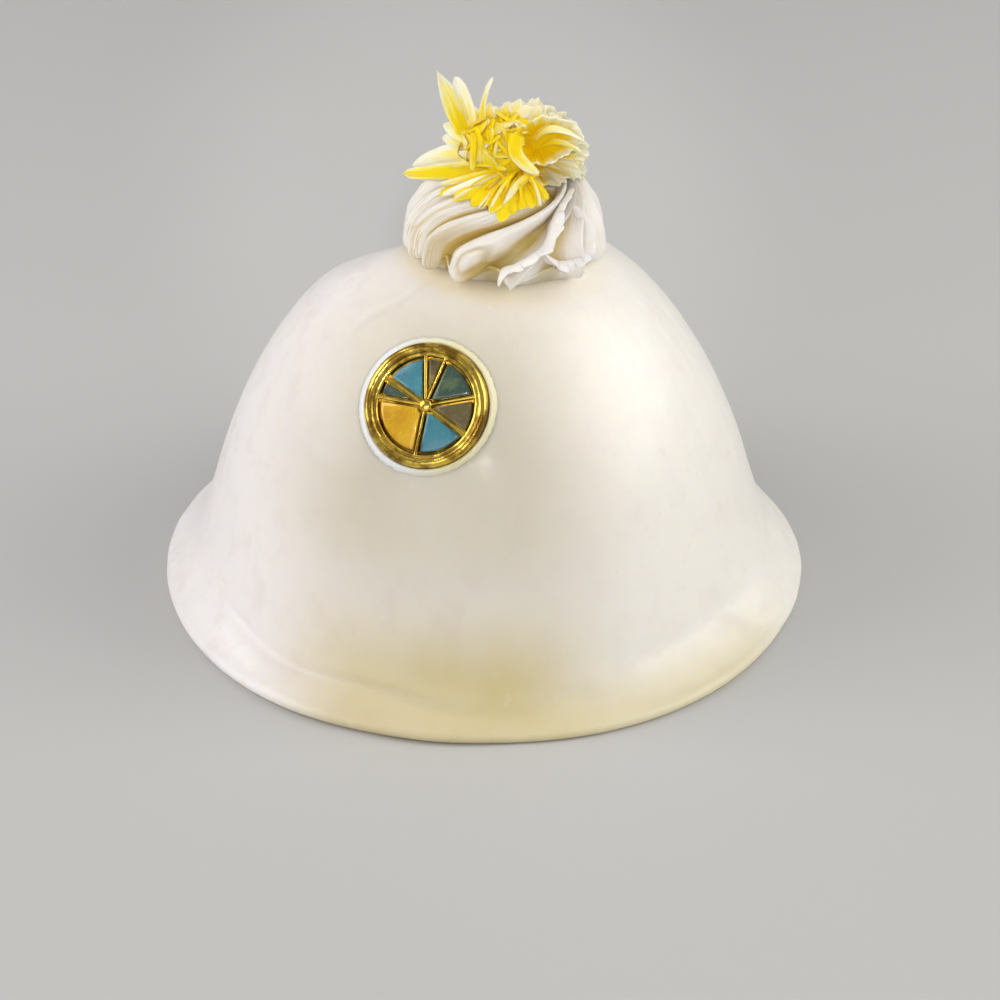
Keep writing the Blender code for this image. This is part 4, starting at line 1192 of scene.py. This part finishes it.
def lay_shreds(draw):
    """The skirt over the front of the swirl, and loose shreds all over the heart."""
    lines = Lines()
    for azimuth in np.radians(np.linspace(-154, -54, SKIRT_SHREDS)):
        out = compass(azimuth + draw.uniform(-0.08, 0.08))
        start = [draw.uniform(-0.8, 0.8), draw.uniform(-0.4, 0.2), draw.uniform(-0.2, 0.9)]
        start = np.array(SKIRT_START) + start
        end = out * draw.uniform(7.4, 9.7) + up(draw.uniform(-4.9, -4.2))
        bend = (start + end) / 2 + out * draw.uniform(1.2, 1.8) + up(draw.uniform(1.4, 2.0))
        width, blunt, tone = draw.uniform(0.28, 0.6), draw.uniform(0.5, 0.9), draw.random()
        pale, twist = draw.uniform(-0.95, 0.35), draw.uniform(-0.9, 0.9)
        lines.lay(start, bend, end, out + up(0.8), width, blunt, tone, pale, twist, 18)
    for start, bend, end, width, blunt, pale, twist in FRONT_BANDS:
        lines.lay(start, bend, end, VIEWER, width, blunt, draw.random(), pale, twist, 22, 0.4)
    for i in range(LOOSE_SHREDS):
        # two in three lie on the viewer's side
        round_share = i * GOLDEN_STEP % 1
        out = compass(round_share * (TURN if i % 3 == 0 else -math.pi), draw.uniform(-0.15, 1.5))
        across = np.cross(out, [draw.uniform(-1, 1) for _ in range(3)])
        across /= np.linalg.norm(across)
        middle, half = out * SHRED_REACH, draw.uniform(1.6, 3.1)
        end = middle + across * half + out * draw.uniform(-0.4, 1.0)
        start = middle - across * half - out * 0.5
        bend = middle + out * draw.uniform(0.5, 1.3) + np.cross(out, across) * draw.uniform(-1.2, 1.2)
        width, blunt = draw.uniform(0.45, 0.85), draw.uniform(0.55, 0.95)
        tone, pale, twist = draw.random(), draw.uniform(-0.80, 0.15), draw.uniform(-0.8, 0.8)
        over_cup = middle[0] > 1.2 and middle[1] < 1.5
        if not over_cup:
            lines.lay(start, bend, end, out, width, blunt, tone, pale, twist, 12)
    return lines


shred_lines = lay_shreds(draw)
print("shreds:", len(shred_lines.points) - len(shred_lines.edges))

# %% [markdown]
# ## Rolled and pleated peel
# On the right the peel is wider. One piece has rolled itself into a cup that opens towards the
# front, deep yellow inside, and behind it pleated sheets spread like a fan. Both are grids of
# points: u runs along the rim and v from the root to the rim. A table gives the rim's reach and
# depth for each direction, as the viewer sees it, and waves in u make the pleats.

# %% Shapes of the cup and the fans
LEAN = 0.5      # a point that comes forward by 1 looks this much lower, so it is raised again
PEEL_WALL = 0.22
CUP_MIDDLE = (4.1, 0.95)
CUP_ROOT = (0.4, -0.7)      # radius and depth of the cup's bottom
CUP_RIM = [
    # direction in degrees, reach and depth of the rim in mm
    (-180, 2.9, -5.0), (-120, 3.3, -5.1), (-80, 3.3, -4.7), (-50, 3.2, -3.9), (-20, 4.4, -3.2),
    (5, 5.6, -2.8), (30, 5.3, -2.7), (60, 3.9, -3.0), (90, 3.1, -3.6), (135, 3.0, -4.5), (180, 2.9, -5.0),
]
FANS = [
    # middle, root depth, pleats, paleness, then rows of direction, reach and depth of the rim
    ((1.6, 0.0), 2.2, 7.5, 0.80,
     [(124, 5.6, 3.0), (90, 7.2, 2.6), (50, 7.7, 2.2), (25, 7.9, 1.8), (-5, 9.1, 1.2),
      (-30, 9.6, 0.4), (-56, 8.4, -0.6)]),
    ((1.6, 0.0), 0.4, 6.5, 0.60,
     [(128, 4.6, 1.4), (90, 6.1, 1.0), (50, 6.6, 0.6), (25, 6.9, 0.2), (0, 8.2, -0.6),
      (-28, 8.6, -1.6), (-58, 7.6, -2.8)]),
    ((2.0, -0.4), 1.2, 5.0, 0.50,
     [(78, 3.6, -0.2), (40, 4.7, -0.4), (8, 6.7, -1.6), (-18, 7.5, -2.8), (-40, 7.2, -4.0),
      (-66, 5.6, -5.0)]),
]
FAN_ROOT = 1.4              # radius at which a fan's pleats begin
FAN_ROUND, FAN_OUT = 220, 26
print("cup's rim:", len(CUP_RIM), "directions, fans:", len(FANS))


# %% A closed skin of peel
def skin_of_peel(name, rings, grids):
    """A closed piece of peel from rings in mm about the heart, with its numbers as grids."""
    rings = (rings + HEART) * MM
    points, faces = skin(rings, rings[0].mean(0), rings[-1].mean(0))
    flat = {label: ring_layer(np.broadcast_to(grid, rings.shape[:2])) for label, grid in grids.items()}
    return new_piece(name, points, faces, zest, flat)


def above_crest(grid, clear=0.3):
    """Lifts points that would lie in the swirl."""
    away = np.hypot(grid[..., 0] + HEART[0] - ROSETTE_X / MM, grid[..., 1] + HEART[1])
    low = crest_height(away) + clear - HEART[2]
    sunk = np.maximum(low - grid[..., 2], 0)
    grid[..., 2] = np.maximum(grid[..., 2], low + 0.12 * np.minimum(sunk, 1))
    return grid


# %% The rolled cup
def build_cup(round_count=200, out_count=30):
    """A rolled cup with a second wall behind it."""
    u = np.arange(round_count) * 360 / round_count - 180
    v = np.linspace(0, 1, out_count)[:, None]
    directions, reaches, depths = np.array(CUP_RIM).T
    reach, depth = np.interp(u, directions, reaches), np.interp(u, directions, depths)
    angle = np.radians(u)
    pleat = 0.22 * np.sin(5 * angle + 0.5) + 0.12 * np.sin(13 * angle + 1) + 0.06 * np.sin(27 * angle)
    root, back = CUP_ROOT
    radius = root + (reach - root + pleat * v**2) * v**0.8
    ripple = 0.26 * np.sin(9 * angle + 2) + 0.11 * np.sin(31 * angle)
    y = back + (depth - back) * v**1.7 + ripple * v**0.9
    x = CUP_MIDDLE[0] + radius * np.cos(angle)
    z = CUP_MIDDLE[1] + radius * np.sin(angle) - LEAN * y
    inner = np.stack([x, y, z], axis=2)
    normal = grid_normals(inner)
    normal *= np.sign((normal[..., 1] * (y < -1)).sum() or 1)
    rings = above_crest(np.concatenate([inner, (inner + normal * PEEL_WALL)[::-1]]))
    v = np.concatenate([v, v[::-1]])
    streak = 0.28 * np.sin(11 * angle + 1) + 0.18 * np.sin(23 * angle)
    right_side = 0.5 + 0.5 * np.cos(angle - 0.2)
    return skin_of_peel("zest_cup", rings, {
        "along": v**3.4 * (0.25 + 0.75 * right_side), "tone": 0.5, "across": angle * 5,
        "pale": 0.20 + 0.6 * v**2.2 * right_side**1.5 + streak * v**3, "rim": 0.0,
    })


# %% A pleated fan
def build_fan(name, middle, root, pleats, paleness, rows, shift):
    """A pleated sheet, closed round its own thin edge."""
    u = np.linspace(0, 1, FAN_ROUND)
    v = np.linspace(0, 1, FAN_OUT)[:, None]
    steps = np.linspace(0, 1, len(rows))
    direction, reach, depth = (np.interp(u, steps, column) for column in np.array(rows).T)
    angle = np.radians(direction)

    def wave(waves, start=0.0):
        return np.sin(TURN * waves * u + start)

    folds = wave(pleats, shift) + 0.45 * wave(pleats * 2.3, 2 * shift)
    fine = 0.5 * wave(31, shift) + 0.4 * wave(47)
    notch = 0.30 * wave(pleats, shift + 1) + 0.22 * wave(19, shift) + 0.12 * fine
    radius = FAN_ROOT + (reach - FAN_ROOT + notch * v**2) * v**0.9
    y = root + (depth - root) * v**1.4 + (0.62 * folds + 0.10 * fine) * v**1.2
    swing = angle + 0.07 * wave(pleats * 0.7, 3 * shift) * v
    x = middle[0] + radius * np.cos(swing)
    z = middle[1] + radius * np.sin(swing) - LEAN * y
    front = above_crest(np.stack([x, y, z], axis=2))
    out = np.stack([np.cos(angle), 0 * angle, np.sin(angle)], axis=1)
    back = front + np.array((0, PEEL_WALL, 0)) - out * 0.04
    # the rings run from one end of the fan to the other, so the grids are turned over
    rings = np.concatenate([front, back[::-1]]).transpose(1, 0, 2)
    v = np.concatenate([v, v[::-1]])
    streak = 0.30 * wave(pleats, shift + 2) + 0.26 * wave(13, shift) + 0.14 * fine
    return skin_of_peel(name, rings, {
        "along": (v**1.3).T, "tone": 0.5, "across": (u * 16)[:, None],
        "pale": (paleness - 0.15 + streak * (0.35 + 0.65 * v)).T, "rim": 0.0,
    })


# %% [markdown]
# ## The tuft
# A lumpy heart of packed peel fills the middle, so that nothing looks hollow between the shreds.
# Then the tree is run twice with different sizes: thin, cupped and ruffled for the curls, and
# thicker and straighter for the narrow shreds.

# %% Heart, curls and shreds
HEART_SIZE = (6.2, 5.7, 4.5)
HOLLOW_REACH, HOLLOW_BACK, HOLLOW_DEPTH = 4.4, 0.2, 5.2     # where the cup lies, in mm


def build_heart():
    ball = bmesh.new()
    bmesh.ops.create_icosphere(ball, subdivisions=5, radius=1.0)
    points = []
    for v in ball.verts:
        lump = 0.80 + 0.13 * noise.noise(v.co * 2.6) + 0.07 * noise.noise(v.co * 9.0)
        point = np.array(v.co) * HEART_SIZE * lump
        seen_height = point[2] + LEAN * point[1]
        inside = math.hypot(point[0] - CUP_MIDDLE[0], seen_height - CUP_MIDDLE[1]) / HOLLOW_REACH
        if point[1] < 0 and inside < 1:
            point[1] = max(point[1], HOLLOW_BACK - HOLLOW_DEPTH * inside**1.7)
        point += HEART
        away = math.hypot(point[0] - ROSETTE_X / MM, point[1])
        point[2] = max(point[2], float(crest_height(away)) + 0.25)
        points.append(point * MM)
    faces = [[v.index for v in f.verts] for f in ball.faces]
    ball.free()
    count = len(points)
    layers = {name: np.zeros(count) for name in ("along", "across", "tone")}
    layers["pale"], layers["rim"] = np.full(count, -0.2), np.zeros(count)
    return new_piece("zest_heart", points, faces, zest, layers)


heart = build_heart()
curls = grow("zest_curls", curl_lines.points, curl_lines.edges, curl_lines.layers, **{
    "Thickness share": 0.11, "Cup": 0.22, "Ruffle": 1.9, "Ruffle scale": 420.0,
    "Section points": 18, "Seed": 4, "Material": zest})
shreds = grow("zest_shreds", shred_lines.points, shred_lines.edges, shred_lines.layers, **{
    "Thickness share": 0.38, "Cup": 0.15, "Ruffle": 0.7, "Ruffle scale": 500.0,
    "Section points": 10, "Seed": 9, "Material": zest})
cup = build_cup()
fans = [build_fan(f"zest_fan_{n}", *row, 1.7 * n) for n, row in enumerate(FANS, 1)]
for piece in (heart, curls, shreds, cup, *fans):
    print(piece.name, len(piece.data.polygons), "faces")

# %% [markdown]
# ## The gilt badge
# A turned ring with two beads holds seven panes, and narrow strips run from a small boss to the
# ring. The ring is a section turned about the badge's own z axis. It was pressed by hand, so low
# lumps are hammered into it: they break up the reflections, which is what makes gold look real.

# %% The setting
PANE_FLOOR, PANE_CROWN = -1.1 * MM, 0.45 * MM
CAME_WIDTH, CAME_TOP, BOSS_RADIUS = 0.4 * MM, 0.1 * MM, 0.9 * MM
CAME_ANGLES = (100, 76, 18, -28, -92, -182, -206)
PANE_NAMES = ("amber_top", "green_top", "amber_side", "teal_low", "gold", "green_side", "teal_top")
print("badge:", len(CAME_ANGLES), "strips and", len(PANE_NAMES), "panes")


def bead(middle, height, size, low, high, count):
    """Points of a rounded bead in a section: (radius, height)."""
    angles = np.radians(np.linspace(low, high, count))
    return [(middle + size * math.cos(a), height + size * math.sin(a)) for a in angles]


def turned(section, count=180, lumpy=0.0):
    """A section turned about z, with low lumps, as rings in the badge's own axes."""
    angles = TURN * np.arange(count) / count
    rings = []
    for radius, height in section:
        ring = np.stack([radius * np.cos(angles), radius * np.sin(angles), np.full(count, height)], axis=1)
        if lumpy and height > PANE_FLOOR and radius > BADGE_INNER:
            lift = [noise.noise(Vector(p) * 420) + 0.5 * noise.noise(Vector(p) * 1100) for p in ring]
            ring[:, 2] += np.array(lift) * lumpy
        rings.append(ring)
    return np.array(rings)


# The brown of the patches is partly worn gold and partly painted dark reflection.
BRIGHT_GOLD, WORN_AND_REFLECTED_GOLD = rgb(236, 204, 92), rgb(134, 102, 38)
HAMMERED = 0.07 * MM        # height of the low lumps in the ring


def gilt_finish():
    """Warm gold leaf, brown in patches that are partly wear and partly painted dark reflection, with fine
    dents.
    """
    made = Finish("gilt", Metallic=1.0, Roughness=0.16)
    patches = made.cloud(300, 4.0, 0.6)
    made.link(made.blend(made.ramp(patches, 0.42, 0.62), BRIGHT_GOLD, WORN_AND_REFLECTED_GOLD), "Base Color")
    made.link(made.ramp(patches, 0.35, 0.65, 0.10, 0.30), "Roughness")
    made.link(made.bump(made.cloud(800, 3.0, 0.55), 0.10 * MM, 0.5), "Normal")
    return made.material


def join_pieces(name, pieces, material):
    """Several closed meshes as one object."""
    work = bmesh.new()
    for piece in pieces:
        work.from_mesh(piece.data)
        bpy.data.objects.remove(piece, do_unlink=True)
    mesh = bpy.data.meshes.new(name)
    work.to_mesh(mesh)
    work.free()
    mesh.shade_smooth()
    mesh.set_sharp_from_angle(angle=math.radians(50))
    mesh.materials.append(material)
    return show(name, mesh)


# %% Strips of the badge
def arch(half, height, top, degrees):
    """A rounded top over a section: half its width, its height and how far round its points go."""
    return [(half * math.cos(a), top + height * math.sin(a)) for a in np.radians(degrees)]


def came(angle, material):
    """One rounded strip from the boss to the ring, a little wider where it meets the ring."""
    rings = []
    for t in np.linspace(0, 1, 14):
        reach = 0.2 * MM + (BADGE_INNER + 0.1 * MM) * t
        half = CAME_WIDTH / 2 * (1 + 0.35 * t**4)
        section = [(-half, PANE_FLOOR), (-half, CAME_TOP - half)]
        section += arch(half, half, CAME_TOP - half, range(165, 0, -15))
        section += [(half, CAME_TOP - half), (half, PANE_FLOOR)]
        c, s = math.cos(angle), math.sin(angle)
        rings.append([(reach * c - w * s, reach * s + w * c, h) for w, h in section])
    rings = np.array(rings)
    first, last = rings[0].mean(0), rings[-1].mean(0)
    points, faces = skin(rings, first, last)
    return new_piece("came", from_badge(points), faces, material)


# %% Ring, boss and strips together
gilt = gilt_finish()
ring_section = [(BADGE_RADIUS, -BADGE_DEPTH)]
ring_section += bead(BADGE_RADIUS - 0.65 * MM, -0.1 * MM, 0.65 * MM, 0, 180, 17)
ring_section += bead(BADGE_INNER + 0.5 * MM, -0.35 * MM, 0.45 * MM, 20, 180, 13)
ring_section += [(BADGE_INNER, PANE_FLOOR)]
rings = turned(ring_section, lumpy=HAMMERED)
points, faces = skin(rings, (0, 0, -BADGE_DEPTH), (0, 0, PANE_FLOOR))
parts = [new_piece("ring", from_badge(points), faces, gilt)]
boss_foot, boss_edge, boss_rise = PANE_FLOOR - 0.2 * MM, -0.05 * MM, 0.5 * MM
boss_section = [(BOSS_RADIUS, boss_foot), (BOSS_RADIUS, boss_edge)]
boss_section += arch(BOSS_RADIUS, boss_rise, boss_edge, range(15, 90, 15))
points, faces = skin(turned(boss_section, 40), (0, 0, boss_foot), (0, 0, boss_edge + boss_rise))
parts.append(new_piece("boss", from_badge(points), faces, gilt))
parts += [came(math.radians(a), gilt) for a in CAME_ANGLES]
setting = join_pieces("gilt_setting", parts, gilt)
print("gilt setting:", len(setting.data.polygons), "faces")

# %% [markdown]
# ## The coloured panes
# Each pane is a sector between two strips, with a crown so low that only its highlight shows it.
# The outlines repeat the solid's rule with finer steps. Glass paste is never one flat colour, so
# each colour is swirled with a darker and a lighter tone of itself under a clear shiny coat.

# %% The panes
def pane_outline(low, high):
    """A sector between two strips, kept clear of them, of the boss and of the ring."""
    clear = CAME_WIDTH / 2 + GAP
    outer, inner = BADGE_INNER - GAP, BOSS_RADIUS + GAP
    outer_low, outer_high = low + math.asin(clear / outer), high - math.asin(clear / outer)
    arc = np.linspace(outer_low, outer_high, max(8, round(math.degrees(outer_high - outer_low) / 2.5)))
    outline = [(outer * math.cos(a), outer * math.sin(a)) for a in arc]
    corner, bisector = clear / math.sin((high - low) / 2), (low + high) / 2
    if corner > inner:
        outline.append((corner * math.cos(bisector), corner * math.sin(bisector)))
        return np.array(outline)
    inner_low, inner_high = low + math.asin(clear / inner), high - math.asin(clear / inner)
    arc = np.linspace(inner_high, inner_low, 8)
    return np.array(outline + [(inner * math.cos(a), inner * math.sin(a)) for a in arc])


def pane_finish(name, deep, plain, light, metallic=0.0):
    made = Finish(name, Metallic=metallic, Roughness=0.22, Coat_Weight=0.7, Coat_Roughness=0.06, IOR=1.5)
    place = made.place((230, 230, 230))
    swirled = made.add("TexNoise", Vector=place, Scale=1.0, Detail=3.0, Distortion=1.2).outputs["Fac"]
    colour = made.blend(made.ramp(swirled, 0.32, 0.5), deep, plain)
    made.link(made.blend(made.ramp(swirled, 0.56, 0.7), colour, light), "Base Color")
    grain = made.cloud(1500)
    made.link(made.ramp(grain, 0.3, 0.7, 0.16, 0.30), "Roughness")
    made.link(made.bump(grain, 0.03 * MM, 0.4), "Normal")
    return made.material


PANE_FINISHES = {
    "teal": pane_finish("teal_pane", rgb(42, 104, 122), rgb(60, 128, 144), rgb(72, 142, 156)),
    "green": pane_finish("green_pane", rgb(38, 52, 46), rgb(54, 78, 66), rgb(86, 104, 72)),
    "amber": pane_finish("amber_pane", rgb(74, 60, 34), rgb(100, 88, 50), rgb(138, 116, 58)),
    "gold": pane_finish("gold_pane", rgb(206, 150, 4), rgb(224, 172, 8), rgb(230, 190, 44), 0.2),
}
print("glass in", ", ".join(PANE_FINISHES))


# %% Seven panes
CROWN_DROP = 0.25 * MM
CROWN_STEPS = (
    # share of the outline, and how much lower than the crown in mm
    (1.0, 0.16), (0.985, 0.05), (0.96, 0.0), (0.8, 0), (0.6, 0), (0.4, 0), (0.2, 0),
)


def crown_height(flat):
    """Height of the crown over flat points in the badge's axes."""
    return PANE_CROWN * (1 - (flat**2).sum(-1) / BADGE_INNER**2) - CROWN_DROP


def pane(name, low, high):
    outline = pane_outline(low, high)
    middle = outline.mean(axis=0)
    rings = [np.column_stack([outline, np.full(len(outline), PANE_FLOOR + GAP)])]
    for inset, drop in CROWN_STEPS:
        flat = middle + (outline - middle) * inset
        rings.append(np.column_stack([flat, crown_height(flat) - drop * MM]))
    points, faces = skin(np.array(rings), (*middle, PANE_FLOOR + GAP), (*middle, crown_height(middle)))
    return new_piece("glass_" + name, from_badge(points), faces, PANE_FINISHES[name.split("_")[0]])


pane_ends = list(CAME_ANGLES) + [CAME_ANGLES[0] - 360]
panes = {}
for name, high, low in zip(PANE_NAMES, pane_ends, pane_ends[1:]):
    panes[name] = pane(name, math.radians(low), math.radians(high))
print("panes:", ", ".join(panes))

# %% [markdown]
# ## Which piece stands for which solid
# Each finer piece rides on the cake's only body and says which solid it stands for. The glaze's
# rim and the two frills are additions and stand for none. The solids stay in the physics, so a
# heap of shreds still collides as one simple lump.

# %% Hand the pieces to the frame
def hand_over(piece, node=None):
    """Fixes a piece to the body, hides the solid it stands for and prints which one that is."""
    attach(piece, "root")
    if node:
        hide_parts(node)
    print(piece.name, "stands for", node or "no solid")


hand_over(glazed_dome, "cake_dome")
hand_over(swirl, "cream_rosette")
for piece in (heart, curls, cup, *fans, shreds):
    hand_over(piece, "zest_tuft")
hand_over(setting, "badge_setting")
for name, piece in panes.items():
    hand_over(piece, "pane_" + name)
hand_over(rim)
hand_over(frills)

# %% [markdown]
# ## The floor under it
# A plain pale floor, a little darker than the cake so that the white outline stays clear. It is a
# stage, not a piece of the cake.

# %% The floor
def floor_finish():
    made = Finish("pale_table", Roughness=0.6)
    made.link(made.blend(made.cloud(6), rgb(196, 195, 193), rgb(204, 203, 201)), "Base Color")
    return made.material


FLOOR_REACH = 3.0
floor_mesh = bpy.data.meshes.new("table")
corners = [(FLOOR_REACH * x, FLOOR_REACH * y, 0) for x, y in ((-1, -1), (1, -1), (1, 1), (-1, 1))]
floor_mesh.from_pydata(corners, [], [(0, 1, 2, 3)])
floor_mesh.materials.append(floor_finish())
show("table", floor_mesh)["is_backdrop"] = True
print("floor:", 2 * FLOOR_REACH, "m wide")

# %% [markdown]
# ## Light and camera
# Two big softboxes stand left and right and a little in front, which makes the sides bright and
# leaves the middle of the front calmer. A broad weak one in front and one above fill the shadows,
# and a small soft spot opens up the tuft and the rosette. The camera looks down at the angle of
# the photograph, from far off through a long lens.

# %% Lights
def aimed(name, data, place, looking):
    """An object at a place, turned so that it looks along a direction."""
    thing = show(name, data)
    thing.location = place
    thing.rotation_mode = "QUATERNION"
    thing.rotation_quaternion = looking.to_track_quat("-Z", "Y")
    return thing


CAKE_MIDDLE = Vector((0, 0, 0.03))
SOFTBOXES = [
    # name, place in metres, size, watts and colour
    ("left box", (-0.55, -0.05, 0.38), (0.5, 0.6), 2.25, (1, 0.985, 0.98)),
    ("right box", (0.55, -0.05, 0.40), (0.5, 0.6), 2.45, (1, 0.99, 0.97)),
    ("front box", (-0.12, -0.72, 0.22), (0.7, 0.5), 1.2, (1, 1, 1)),
    ("top box", (0.0, 0.1, 0.75), (0.5, 0.5), 0.35, (1, 1, 1)),
]
for name, place, size, power, colour in SOFTBOXES:
    data = bpy.data.lights.new(name, "AREA")
    data.shape = "RECTANGLE"
    data.size, data.size_y = size
    data.energy, data.color = power, colour
    aimed(name, data, place, CAKE_MIDDLE - Vector(place))

SPOT_PLACE, SPOT_AIM = Vector((0.03, -0.41, 0.30)), Vector((0.004, 0, 0.0735))
data = bpy.data.lights.new("tuft spot", "SPOT")
data.energy, data.shadow_soft_size = 36.0, 0.05
data.spot_size, data.spot_blend = math.radians(3.8), 1.0
aimed("tuft spot", data, SPOT_PLACE, SPOT_AIM - SPOT_PLACE)
print("lights:", len(SOFTBOXES) + 1)

world = bpy.data.worlds.new("studio")
world.use_nodes = True
background = world.node_tree.nodes["Background"].inputs
background["Color"].default_value = (0.8, 0.8, 0.8, 1)
background["Strength"].default_value = 0.42
bpy.context.scene.world = world
bpy.context.scene.view_settings.view_transform = "Standard"

# %% Camera
ELEVATION, DISTANCE = math.radians(31.5), 0.420
AIM = Vector((2.45, 0, 10.32)) * MM
LENS, SENSOR = 106.8, 36.0
looking = Vector((0, math.cos(ELEVATION), -math.sin(ELEVATION)))
camera_data = bpy.data.cameras.new("camera")
camera_data.lens, camera_data.sensor_width = LENS, SENSOR
camera_data.clip_start, camera_data.clip_end = 0.01, 20
camera = aimed("camera", camera_data, AIM - looking * DISTANCE, looking)
bpy.context.scene.camera = camera
print("camera at", [round(v, 3) for v in camera.location])

# %% [markdown]
# ## The sizes at the end
# The dressed cake has to fill the same box as the solids. Both boxes are printed, so that they
# can be compared.

# %% Print the sizes and finish
seen_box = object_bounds()
sizes = {"cad": [list(c) for c in cad_box], "visual": [list(c) for c in seen_box]}
for label, (low, high) in sizes.items():
    print(label, [round((b - a) / MM, 2) for a, b in zip(low, high)], "mm")
